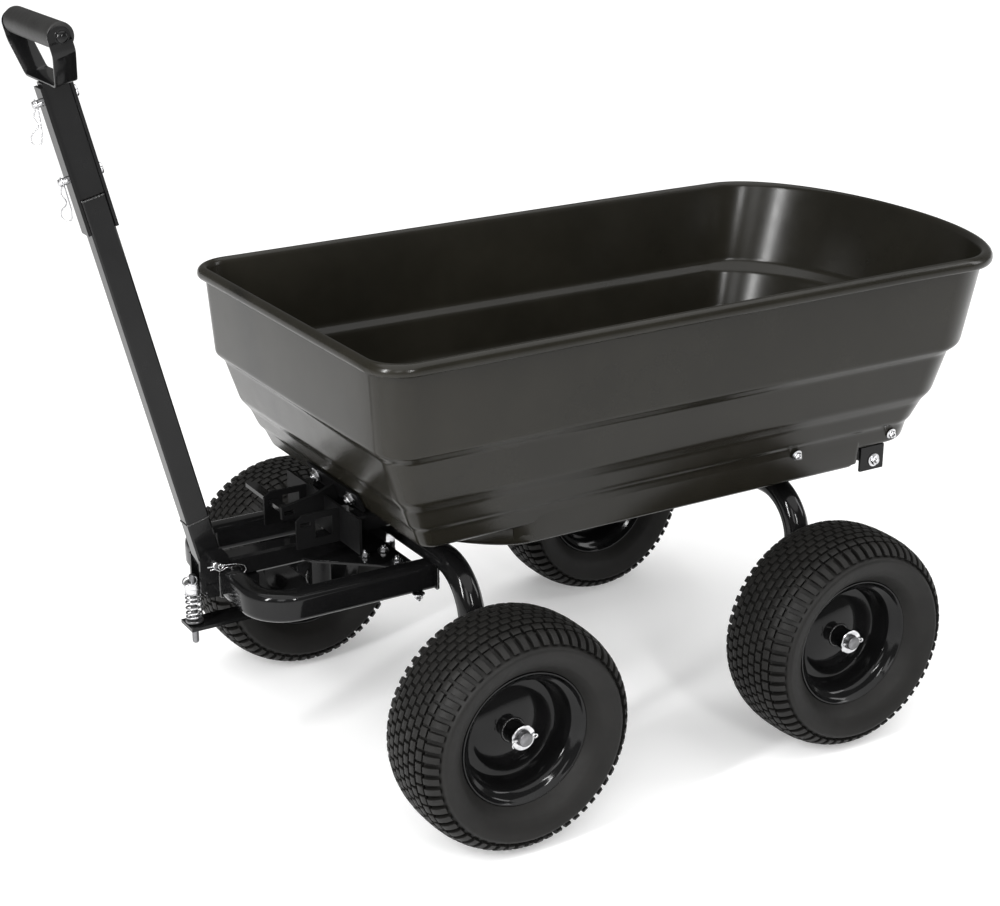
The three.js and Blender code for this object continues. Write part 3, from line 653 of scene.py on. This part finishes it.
def tub_ring(station):
    """Level outline of the tub at one station: height, inset at the sides, front and rear."""
    z, side, front, rear = station
    half = TUB_HALF - side
    x0 = TUB_FRONT_X + front
    x1 = TUB_REAR_X - rear
    rf = max(CORNER_R - side * 0.55, 20)
    reach = REAR_REACH - rear * 0.45
    near = []
    for i in range(13):
        a = math.radians(180 + 90 * i / 12)
        near.append((x0 + rf + rf * math.cos(a), -half + rf + rf * math.sin(a)))
    straight = (x1 - reach) - (x0 + rf)
    for i in range(1, 8):
        near.append((x0 + rf + straight * i / 8, -half))
    power = 2 / REAR_POWER
    for i in range(37):
        a = math.radians(-90 + 90 * i / 36)
        near.append((x1 - reach + reach * abs(math.cos(a)) ** power, -half * abs(math.sin(a)) ** power))
    far = [(x, -y) for x, y in reversed(near[:-1])]
    return [Vector((x + X_MM, y, z + rise(x, z))) * MM for x, y in near + far]


TUB_OUTSIDE = [
    (494, 94, 122, 172),
    (500, 84, 113, 162),
    (531, 77, 99, 156),
    (540, 70, 90, 149),
    (572, 62, 76, 126),
    (592, 49, 60, 110),
    (668, 36, 36, 81),
    (682, 24, 22, 57),
    (820.5, 16, 12, 16),
]
TUB_LIP = [
    (821.2, 13, 10, 13),
    (821.6, 6, 5, 6),
    (822.8, 2.2, 2.2, 2.2),
    (825.5, 0.4, 0.4, 0.4),
    (829, 0, 0, 0),
    (833.5, 0.5, 0.5, 0.5),
    (837.5, 2.2, 2.2, 2.2),
    (840.6, 5, 5, 5),
    (842.5, 8.6, 8.4, 8.6),
    (843, 12, 11, 12),
    (842, 15.4, 13.6, 15.4),
    (839, 18.6, 15.6, 18.6),
    (832, 20.6, 16.8, 20.6),
]


def tub_skin():
    """Closed skin of the tub: up the outside, over the rolled rim and down the inside."""
    outside = soften(TUB_OUTSIDE, 7, 4)
    wall = [(z + WALL, a + WALL, b + WALL, c + WALL) for z, a, b, c in reversed(TUB_OUTSIDE[2:8])]
    inside = soften(TUB_LIP[-1:] + wall + [(507, 88, 117, 167), (500, 100, 128, 178)], 8, 4)[1:]
    return loft([tub_ring(s) for s in outside + TUB_LIP + inside])


def well_ring(side, z, outer, inset):
    """Level outline of one foot well, drawn in by an inset."""
    y0, y1 = WELL_INNER_Y + inset, outer - inset
    rear = WELL_REAR_X - inset
    outline = [(rear, y0)]
    for i in range(7):
        a = math.radians(90 * i / 6)
        corner_x, corner_y = rear - WELL_CORNER, y1 - WELL_CORNER
        outline.append((corner_x + WELL_CORNER * math.cos(a), corner_y + WELL_CORNER * math.sin(a)))
    start, pull, end = (WELL_BEND_X, y1), (WELL_FRONT_X + 100, y1), (WELL_FRONT_X + inset, y0)
    for i in range(25):
        t = i / 24
        bend = [(1 - t) ** 2, 2 * t * (1 - t), t * t]
        outline.append(tuple(bend[0] * a + bend[1] * b + bend[2] * c for a, b, c in zip(start, pull, end)))
    ring = [Vector((x + X_MM, side * y, z)) * MM for x, y in outline]
    return ring if side > 0 else ring[::-1]


def well_outside(side):
    rings = [(461, 290.5, 6), (462.4, 290.5, 3), (466, 290.8, 0.4), (470, 291.4, 0), (490, 292.4, 0)]
    rings += [(499.4, 289.6, 0)]
    return loft([well_ring(side, z, y, inset) for z, y, inset in rings])


def well_inside(side):
    rings = [(466, 290.5, 12), (467.6, 290.5, 8.5), (471, 290.5, 6), (476, 290.5, 5), (503, 290.5, 5)]
    return loft([well_ring(side, z, y, inset) for z, y, inset in rings])


def skirt(side):
    """Flush strip that carries the side wall down onto the well."""
    section = [(290.9, 467), (292.3, 471), (299.2, 516.5), (296.5, 512), (289, 497), (286, 470)]
    rings = []
    for x, pull in ((-262, 9), (-240, 3.2), (-222, 0.4), (-200, 0), (100, 0), (470, 0), (476, 0.5), (478, 2)):
        ring = [Vector((x + X_MM, side * (y - pull), z)) * MM for y, z in section]
        rings.append(ring)
    return loft(rings)


def solid(name, part):
    verts, faces = part
    mesh = bpy.data.meshes.new(name)
    mesh.from_pydata([tuple(v) for v in verts], [], faces)
    obj = bpy.data.objects.new(name, mesh)
    bpy.context.scene.collection.objects.link(obj)
    return obj


def carve(base, tools):
    """Runs exact booleans of (operation, part) on a solid and returns the finished mesh."""
    body = solid("carve_base", base)
    helpers = []
    for i, (operation, part) in enumerate(tools):
        tool = solid("carve_tool", part)
        helpers.append(tool)
        step = body.modifiers.new("step_%d" % i, "BOOLEAN")
        step.operation = operation
        step.object = tool
        step.solver = "EXACT"
    bpy.context.view_layer.update()
    result = bpy.data.meshes.new_from_object(body.evaluated_get(bpy.context.evaluated_depsgraph_get()))
    for scrap in [body] + helpers:
        bpy.data.objects.remove(scrap)
    return result


wells = [("UNION", well_outside(side)) for side in (-1, 1)]
wells += [("DIFFERENCE", well_inside(side)) for side in (-1, 1)]
tub_data = carve(tub_skin(), wells)
tub_data.materials.clear()
tub_data.materials.append(POLY)
tub_data.shade_smooth()
tub_data.set_sharp_from_angle(angle=math.radians(40))
place("tub_moulding", tub_data, POLY, "tub", ["tub_shell"])
piece("tub_skirts", *combined([skirt(-1), skirt(1)]), POLY, "tub", "poly_tub", (), 60)


# ---- tow frame and hitch --------------------------------------------------
ARM_Z = 392
ARM_Y = 169.5
ARM_CROSS_X = -664
ARM_FOOT_X = -352
ARM_HALF = (19.5, 25)
ARM_BEND = 60
YOKE_END_Y = 25.4
TOW_PIN_X = -722
PIVOT_X = -692
PIVOT_Z = 430
TURNED_SEGMENTS = 48
GUSSET_LOW_Z = 399
GUSSET_TOP_Z = 404


def local(points):
    """Points given from the middle between the axles, moved into the model's frame."""
    return [(x + X_MM, y, z) for x, y, z in points]


def rounded_rect(half_w, half_h, radius, steps):
    """Outline of a rectangle with round corners, centred on the origin."""
    points = []
    for cx, cy, start in ((1, 1, 0), (-1, 1, 90), (-1, -1, 180), (1, -1, 270)):
        for i in range(steps + 1):
            a = math.radians(start + 90 * i / steps)
            corner_x, corner_y = cx * (half_w - radius), cy * (half_h - radius)
            points.append((corner_x + radius * math.cos(a), corner_y + radius * math.sin(a)))
    return points


def tow_arm(side):
    """Rectangular tube bent through a quarter turn towards the yoke."""
    path = [(ARM_FOOT_X, side * ARM_Y, ARM_Z), (ARM_FOOT_X - 60, side * ARM_Y, ARM_Z)]
    centre_x, centre_y = ARM_CROSS_X + ARM_BEND, ARM_Y - ARM_BEND
    for i in range(25):
        a = math.pi / 2 * i / 24
        path.append((centre_x - ARM_BEND * math.sin(a), side * (centre_y + ARM_BEND * math.cos(a)), ARM_Z))
    path.append((ARM_CROSS_X, side * YOKE_END_Y, ARM_Z))
    return sweep(local(path), rounded_rect(*ARM_HALF, 12, 6), (0, 0, 1))


for side, tag in ((-1, "left"), (1, "right")):
    node = "tow_arm_" + tag
    piece("bent_" + node, *tow_arm(side), COAT, "steer_axle", "black_powder_coat", [node], 50)


def gusset(side):
    """Flat plate in the corner between the tongue bar, the axle beam and the arm, with chamfered edges."""
    outline = [(-373, 21.5), (-373, 149), (-392, 149), (-520, 40), (-528, 21.5)]
    cx = sum(x for x, _ in outline) / len(outline)
    cy = sum(y for _, y in outline) / len(outline)
    chamfer = 0.8
    rings = []
    levels = [(GUSSET_LOW_Z, chamfer), (GUSSET_LOW_Z + chamfer, 0)]
    levels += [(GUSSET_TOP_Z - chamfer, 0), (GUSSET_TOP_Z, chamfer)]
    for z, inset in levels:
        ring = []
        for x, y in outline:
            span = math.hypot(x - cx, y - cy)
            inner_x, inner_y = x - (x - cx) / span * inset, y - (y - cy) / span * inset
            ring.append((inner_x, side * inner_y, z))
        rings.append([Vector(point) * MM for point in local(ring)])
    return loft(rings)


gusset_bolts = []
for side in (-1, 1):
    for x, y in ((-432, 72), (-395, 69), (-397, 123)):
        start = local([(x, side * y, GUSSET_TOP_Z)])[0]
        gusset_bolts.append(flanged_bolt(start, (0, 0, 1), 13, 6))
piece("tow_gussets", *combined([gusset(-1), gusset(1)]), COAT, "steer_axle", "black_powder_coat", (), 40)
piece("gusset_bolts", *combined(gusset_bolts), ZINC, "steer_axle", "zinc", (), 35)

arm_nuts = []
for side in (-1, 1):
    start = local([(-389, side * (ARM_Y + 15), ARM_Z - ARM_HALF[1])])[0]
    arm_nuts.append(flanged_bolt(start, (0, 0, -1), 13, 8))
piece("arm_nuts", *combined(arm_nuts), ZINC, "steer_axle", "zinc", (), 35)


def weld_line(half_w, half_h, corner, corner_steps, spacing):
    """Closely spaced points round a rectangle with soft corners."""
    corners = [(-half_w, -half_h), (half_w, -half_h), (half_w, half_h), (-half_w, half_h)]
    loop = soften(corners, corner, corner_steps, loop=True)
    line = []
    for i, (a, b) in enumerate(loop):
        c, d = loop[(i + 1) % len(loop)]
        count = max(1, int(math.hypot(c - a, d - b) / spacing))
        line += [(a + (c - a) * k / count, b + (d - b) * k / count) for k in range(count)]
    return line


def tow_weld(x, y, z, normal, half_w, half_h):
    """Rippled bead round a rectangular joint that faces along X or Y."""
    rings = []
    for i, (u, v) in enumerate(weld_line(half_w, half_h, 6, 4, 2)):
        swell = 2.2 + 0.5 * math.sin(i * 2.1) + 0.25 * math.sin(i * 0.7)
        span = math.hypot(u, v)
        out = (u / span, v / span)
        ring = []
        for a, b in circle(swell, 8):
            if normal == "x":
                point = (x + b, y + u + out[0] * a, z + v + out[1] * a)
            else:
                point = (x + u + out[0] * a, y + b, z + v + out[1] * a)
            ring.append(Vector((point[0] + X_MM, point[1], point[2])) * MM)
        rings.append(ring)
    return loft(rings, loop=True)


tow_beads = [tow_weld(ARM_CROSS_X, side * (YOKE_END_Y + 1), ARM_Z, "y", *ARM_HALF) for side in (-1, 1)]
tow_beads += [tow_weld(ARM_FOOT_X - 1, side * ARM_Y, ARM_Z, "x", *ARM_HALF) for side in (-1, 1)]
piece("tow_frame_beads", *combined(tow_beads), WELD, "steer_axle", "black_powder_coat", (), 80)


def helix(centre_x, radius, low, high, turns, wire):
    """Compression spring that rises evenly, slightly closer at its ends."""
    path = []
    steps = 28
    total = int(turns * steps)
    for i in range(total + 1):
        t = i / total
        eased = t - 0.05 * math.sin(2 * math.pi * t)
        a = 2 * math.pi * turns * t
        path.append((centre_x + radius * math.cos(a), radius * math.sin(a), low + (high - low) * eased))
    return sweep(local(path), circle(wire, 10), (0, 0, 1))


spring = piece(
    "coil_spring", *helix(TOW_PIN_X, 13.2, 328.4, 371.8, 5.5, 1.75), ZINC, "steer_axle", "zinc",
    ["tow_pin_spring"], 80,
)
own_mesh(spring)


def upright(x, stations):
    """Turned solid about a vertical line; stations are (height, radius)."""
    base = stations[0][0]
    start, end = local([(x, 0, base), (x, 0, base + 10)])
    return lathe_on(start, end, [(z - base, r) for z, r in stations], TURNED_SEGMENTS)


def tube_about_z(x, profile):
    """Ring turned about a vertical line from a closed (radius, height) profile."""
    rings = []
    for i in range(TURNED_SEGMENTS):
        a = 2 * math.pi * i / TURNED_SEGMENTS
        rings.append([Vector((x + X_MM + r * math.cos(a), r * math.sin(a), z)) * MM for r, z in profile])
    return loft(rings, loop=True)


cup_profile = soften(
    [
        (6.8, 376), (6.8, 395.6), (12.4, 395.6), (15.1, 393.6), (15.1, 385.5), (13.8, 384), (13.8, 377),
        (14.6, 374.2), (8, 374.2),
    ],
    1.2, 3, loop=True,
)
piece("spring_guide", *tube_about_z(TOW_PIN_X, cup_profile), ZINC, "steer_axle", "zinc", ["spring_cup"], 40)

pin_shank = upright(
    TOW_PIN_X,
    [(282, 3.4), (283.2, 4.8), (285, 5.7), (287, 5.8), (320.6, 5.8), (320.7, 12), (321.2, 14.6), (322, 15),
     (324.8, 15), (325.8, 14.4), (326, 5.9), (405.8, 5.8), (407.5, 5.2), (408.3, 3.8)],
)
ring_centre = Vector((TOW_PIN_X - 8, -8.4, 400.6))
ring_normal = Vector((-0.24, -0.29, 0.926)).normalized()
ring_right = Vector((0.77, -0.64, 0)).normalized()
ring_up = ring_normal.cross(ring_right)
ring_path = [
    tuple(ring_centre + (ring_right * math.cos(a) + ring_up * math.sin(a)) * 12.4)
    for a in (2 * math.pi * i / 40 for i in range(40))
]
pull_ring = sweep(local(ring_path), circle(1.35, 10), tuple(ring_normal), loop=True)
piece("tow_pin_turned", *pin_shank, STEEL, "tow_pin_body", "bare_steel", ["tow_pin"], 40)
piece("tow_pin_ring", *pull_ring, ZINC, "tow_pin_body", "zinc", (), 80)


def hairpin(origin, along, across, scale=1.0, wire=1.1):
    """R-shaped spring clip: straight leg, coiled eye and humped leg, from its eye outwards."""
    origin, along, across = Vector(origin), Vector(along).normalized(), Vector(across).normalized()
    flat = [(-16, 0), (8, 0), (30, 0.5), (39, 3)]
    for i in range(9):
        a = math.radians(-80 + 200 * i / 8)
        flat.append((39 + 8 * math.cos(a), 11 + 8 * math.sin(a)))
    flat += [(30, 15.5), (25, 9), (19, 4), (13, 5), (8, 9), (2, 8), (-5, 3.8), (-12, 5.5)]
    points = [tuple(origin + (along * u + across * v) * scale) for u, v in flat]
    return sweep(local(soften(points, 3.2, 3)), circle(wire, 8), tuple(along.cross(across)))


handle_clip = hairpin((-690, -33.4, 428), (1, -0.1, -0.03), (0.03, 0, -1), 1.05)
eye = [
    (-684 + 4.2 * math.cos(a), -35.6, 427 + 4.2 * math.sin(a))
    for a in (2 * math.pi * i / 20 for i in range(20))
]
eye_ring = sweep(local(eye), circle(1.1, 8), (0, 1, 0), loop=True)
piece("handle_pin_clip", *combined([handle_clip, eye_ring]), ZINC, "steer_axle", "zinc", (), 80)

pin_shaft = lathe_on(
    *local([(PIVOT_X, -36, PIVOT_Z), (PIVOT_X, 45, PIVOT_Z)]),
    [(0, 4.4), (1.2, 5.8), (1.6, 6), (79.4, 6), (80.2, 5.6), (81, 4.4)],
    36,
)
pin_threads = [
    lathe_on(
        *local([(PIVOT_X, 38.2 + 0.9 * i, PIVOT_Z), (PIVOT_X, 45, PIVOT_Z)]),
        [(0, 5.7), (0.25, 6.25), (0.45, 6.25), (0.7, 5.7)],
        28,
    )
    for i in range(6)
]
piece(
    "handle_pin_turned", *combined([pin_shaft] + pin_threads), ZINC, "steer_axle", "zinc", ["handle_pin"], 40,
)
lock_nut = hex_head(local([(PIVOT_X, 24.2, PIVOT_Z)])[0], (0, 1, 0), 21, 13.6)
nut_washer = lathe_on(
    *local([(PIVOT_X, 23.1, PIVOT_Z), (PIVOT_X, 30, PIVOT_Z)]),
    [(0, 12), (0.3, 12.4), (0.8, 12.4), (1.1, 12)],
    36,
)
piece("handle_lock_nut", *combined([lock_nut, nut_washer]), COAT, "steer_axle", "black_powder_coat", (), 35)


# ---- handle ---------------------------------------------------------------
LEAN = math.radians(14)
GRIP_S = 928
GRIP_END_Y = 100.6
STRAP_Y = 103
STRAP_BASE_Y = 66
STRAP_BASE_S = 853
TUBE_HALF = (20.5, 16.5)
GRIP_T = 4
BOLT_LINE_Y = 130
HITCH_S = 822
FOLD_S = 697


def on_handle(t, y, s):
    """Point of the handle: t fore and aft across it, y sideways, s up it from its pivot."""
    x = PIVOT_X - math.sin(LEAN) * s + math.cos(LEAN) * t + X_MM
    return (x, y, PIVOT_Z + math.cos(LEAN) * s + math.sin(LEAN) * t)


HANDLE_ACROSS = (math.cos(LEAN), 0, math.sin(LEAN))
HANDLE_UP = (-math.sin(LEAN), 0, math.cos(LEAN))

grip_stations = [(0, 17.5), (0.8, 19.6), (2.4, 20.8), (4.2, 20.98)]
length = 2 * GRIP_END_Y
grip_stations += [(length - d, r) for d, r in reversed(grip_stations)]
grip_ends = [on_handle(GRIP_T, side * GRIP_END_Y, GRIP_S) for side in (-1, 1)]
grip_bar = lathe_on(*grip_ends, grip_stations, 72)
piece("grip_sleeve", *grip_bar, GRIP, "grip_head", "grip_plastic", ["grip"], 50)

strap_path = [
    (0, -STRAP_Y, GRIP_S - 4), (0, -STRAP_Y, GRIP_S - 24), (0, -STRAP_BASE_Y, STRAP_BASE_S),
    (0, STRAP_BASE_Y, STRAP_BASE_S), (0, STRAP_Y, GRIP_S - 24), (0, STRAP_Y, GRIP_S - 4),
]
strap_bar = sweep(
    [on_handle(*p) for p in soften(strap_path, 7, 5)], rounded_rect(2, 18, 0.9, 2), HANDLE_ACROSS
)


def strap_ear(side):
    """Rounded end of the strap round the grip bolt."""
    outline = [(-18, GRIP_S - 8), (18, GRIP_S - 8)]
    for i in range(21):
        a = math.pi * i / 20
        outline.append((18 * math.cos(a), GRIP_S - 1 + 18 * math.sin(a)))
    rings = []
    for y, inset in ((-2, 0.7), (-1.3, 0), (1.3, 0), (2, 0.7)):
        scale = 1 - inset / 18
        rings.append([
            Vector(on_handle(t * scale, side * STRAP_Y + y, GRIP_S + (s - GRIP_S) * scale)) * MM
            for t, s in outline
        ])
    return loft(rings)


piece(
    "grip_bracket", *combined([strap_bar, strap_ear(-1), strap_ear(1)]), COAT, "grip_head",
    "black_powder_coat", ["grip_strap"], 45,
)

grip_heads = []
for side in (-1, 1):
    start = on_handle(GRIP_T, side * (STRAP_Y + 2.2), GRIP_S)
    end = on_handle(GRIP_T, side * BOLT_LINE_Y, GRIP_S)
    dome = [(0, 9), (0.9, 9), (2.1, 8.4), (3.3, 6.8), (4.2, 4.4), (4.7, 1.5)]
    grip_heads.append(lathe_on(start, end, dome, 36))
    rim = BOLT_LINE_Y - STRAP_Y - 2.2
    grip_heads.append(lathe_on(end, start, [(rim - 0.4, 11), (rim, 11.4)], 36))
piece("grip_bolt_heads", *combined(grip_heads), COAT, "grip_head", "black_powder_coat", ["grip_bolt"], 40)


def clevis_pin(s):
    """Turned pin with a flat head, a chamfered tip and a groove for its clip."""
    start, end = on_handle(-41, 0, s), on_handle(32, 0, s)
    return lathe_on(
        start, end,
        [(0, 4.2), (1.4, 5.8), (5, 6), (5.2, 5.4), (7, 5.4), (7.2, 6), (67.6, 6), (67.7, 9.1), (68.2, 9.5),
         (71.6, 9.5), (72.5, 8.8)],
        40,
    )


for name, s in (("fold_pin", FOLD_S), ("hitch_pin", HITCH_S)):
    piece("turned_" + name, *clevis_pin(s), ZINC, "handle", "zinc", [name], 40)


def hanging_clip(s, swing):
    """Thin hairpin clip that hangs from the tip of a clevis pin."""
    eye_centre = Vector(on_handle(-35, 0, s)) - Vector((X_MM, 0, 0))
    down = Vector((-0.10 + swing, -0.12, -1)).normalized()
    across = Vector((-0.72, 0.62, 0)).normalized()
    parts = [hairpin(eye_centre + down * 13 - across * 2, down, across, 1.06, 1.05)]
    loop = [
        tuple(eye_centre + (Vector((0, 1, 0)) * math.cos(a) + Vector(HANDLE_UP) * math.sin(a)) * 7)
        for a in (2 * math.pi * i / 24 for i in range(24))
    ]
    parts.append(sweep(local(loop), circle(0.95, 8), HANDLE_ACROSS, loop=True))
    return combined(parts)


piece("hitch_pin_clip", *hanging_clip(HITCH_S, 0.16), ZINC, "handle", "zinc", (), 80)
piece("fold_pin_clip", *hanging_clip(FOLD_S, 0.30), ZINC, "handle", "zinc", (), 80)


def handle_bead(s, half_t, half_y, size):
    """Weld ripple round the handle tube."""
    rings = []
    for i, (t, y) in enumerate(weld_line(half_t, half_y, 4, 3, 1.6)):
        swell = size * (1 + 0.34 * math.sin(i * 1.9))
        span = math.hypot(t, y)
        ring = []
        for a, b in circle(swell, 8):
            ring.append(Vector(on_handle(t + t / span * a, y + y / span * a, s + b)) * MM)
        rings.append(ring)
    return loft(rings, loop=True)


handle_beads = [
    handle_bead(80, TUBE_HALF[0], TUBE_HALF[1], 1.5),
    handle_bead(661, TUBE_HALF[0] - 1.6, TUBE_HALF[1] - 0.6, 1.7),
]
piece("handle_beads", *combined(handle_beads), WELD, "handle", "black_powder_coat", (), 80)


# ---- bolts ----------------------------------------------------------------
WALL_DOWN = (-0.91, 0, -0.414)
WALL_OUT = (0.97, -0.24)
HINGE_X, HINGE_NUT_Y, HINGE_Z = 522, 288.2, 466
FRONT_FOOT_X, FRONT_FOOT_Y, FRONT_FOOT_Z = -451.3, 65, 514
for side, tag in ((-1, "left"), (1, "right")):
    base = Vector((FRONT_FOOT_X, side * FRONT_FOOT_Y, FRONT_FOOT_Z)) + Vector(WALL_DOWN)
    start = local([tuple(base)])[0]
    node = "front_bolt_" + tag
    piece("front_foot_" + tag, *flanged_bolt(start, WALL_DOWN, 17, 7), ZINC, "tub", "zinc", [node], 35)
    start = local([(HINGE_X, side * HINGE_NUT_Y, HINGE_Z)])[0]
    piece(
        "hinge_nut_" + tag, *flanged_bolt(start, (0, side, 0), 15, 6), ZINC, "chassis", "zinc",
        ["pivot_bolt_" + tag], 35,
    )
    wall_nuts = []
    for x, y, z in ((324, 303.4, 518), (549, 300.6, 517)):
        start = local([(x, side * y, z)])[0]
        wall_nuts.append(flanged_bolt(start, (0, side * WALL_OUT[0], WALL_OUT[1]), 12, 6))
    piece("wall_nuts_" + tag, *combined(wall_nuts), ZINC, "tub", "zinc", (), 35)


# ---- floor, light and camera ----------------------------------------------
ROOM_LIGHT = 0.20
FLOOR_GLOW = 0.27
floor_finish = finish(
    "studio_floor", (0.80, 0.80, 0.80), (0.83, 0.83, 0.83), (0.6, 0.7), mottle=3, specular=0.1
)
floor_shader = floor_finish.node_tree.nodes["Principled BSDF"]
floor_shader.inputs["Emission Color"].default_value = (1, 1, 1, 1)
floor_shader.inputs["Emission Strength"].default_value = FLOOR_GLOW
floor_mesh = bpy.data.meshes.new("floor")
FLOOR_REACH = 30
FLOOR_Z = -0.0005
floor_corners = [(x * FLOOR_REACH, y * FLOOR_REACH, FLOOR_Z) for x, y in ((-1, -1), (1, -1), (1, 1), (-1, 1))]
floor_mesh.from_pydata(floor_corners, [], [(0, 1, 2, 3)])
floor_mesh.materials.append(floor_finish)
floor = bpy.data.objects.new("floor", floor_mesh)
bpy.context.scene.collection.objects.link(floor)

world = bpy.data.worlds.new("studio")
world.use_nodes = True
nodes, links = world.node_tree.nodes, world.node_tree.links
room = nodes["Background"]
room.inputs["Color"].default_value = (1.0, 0.995, 0.98, 1)
room.inputs["Strength"].default_value = ROOM_LIGHT
backdrop = nodes.new("ShaderNodeBackground")
backdrop.inputs["Strength"].default_value = 1.0
seen = nodes.new("ShaderNodeLightPath")
mix = nodes.new("ShaderNodeMixShader")
links.new(seen.outputs["Is Camera Ray"], mix.inputs["Fac"])
links.new(room.outputs["Background"], mix.inputs[1])
links.new(backdrop.outputs["Background"], mix.inputs[2])
links.new(mix.outputs["Shader"], nodes["World Output"].inputs["Surface"])
bpy.context.scene.world = world
bpy.context.scene.view_settings.view_transform = "Standard"


def softbox(name, spot, aim, size, power):
    data = bpy.data.lights.new(name, "AREA")
    data.shape = "RECTANGLE"
    data.size, data.size_y = size
    data.energy = power
    lamp = bpy.data.objects.new(name, data)
    bpy.context.scene.collection.objects.link(lamp)
    lamp.location = spot
    lamp.rotation_euler = (Vector(aim) - Vector(spot)).to_track_quat("-Z", "Y").to_euler()
    return lamp


sun = bpy.data.lights.new("overcast", "SUN")
sun.energy = 2.75
sun.angle = math.radians(85)
overcast = bpy.data.objects.new("overcast", sun)
bpy.context.scene.collection.objects.link(overcast)
overcast.rotation_euler = (math.radians(8), math.radians(4), 0)

softbox("key", (-2.6, -3.4, 2.6), (0, 0, 0.5), (1.2, 2.0), 30)
softbox("strip_front", (-2.75, -1.05, 1.95), (0.75, 0.25, 0.75), (0.18, 1.7), 95)
softbox("strip_near", (-0.5, -3.1, 1.9), (0.7, 0.35, 0.75), (0.22, 1.0), 34)
softbox("rim_right", (3.4, -1.6, 2.2), (0.2, 0, 0.6), (0.9, 1.8), 30)

camera_data = bpy.data.cameras.new("camera")
camera_data.sensor_width = 36
camera_data.lens = 71.13
camera = bpy.data.objects.new("camera", camera_data)
bpy.context.scene.collection.objects.link(camera)
CAMERA_RIGHT = Vector((0.85583, -0.51725, 0))
CAMERA_UP = Vector((0.17968, 0.29730, 0.93773))
CAMERA_BACK = Vector((-0.48504, -0.80254, 0.34738))
camera.matrix_world = Matrix.Translation((-1.806377, -2.87782, 1.755509)) @ Matrix(
    (CAMERA_RIGHT, CAMERA_UP, CAMERA_BACK)
).transposed().to_4x4()
bpy.context.scene.camera = camera
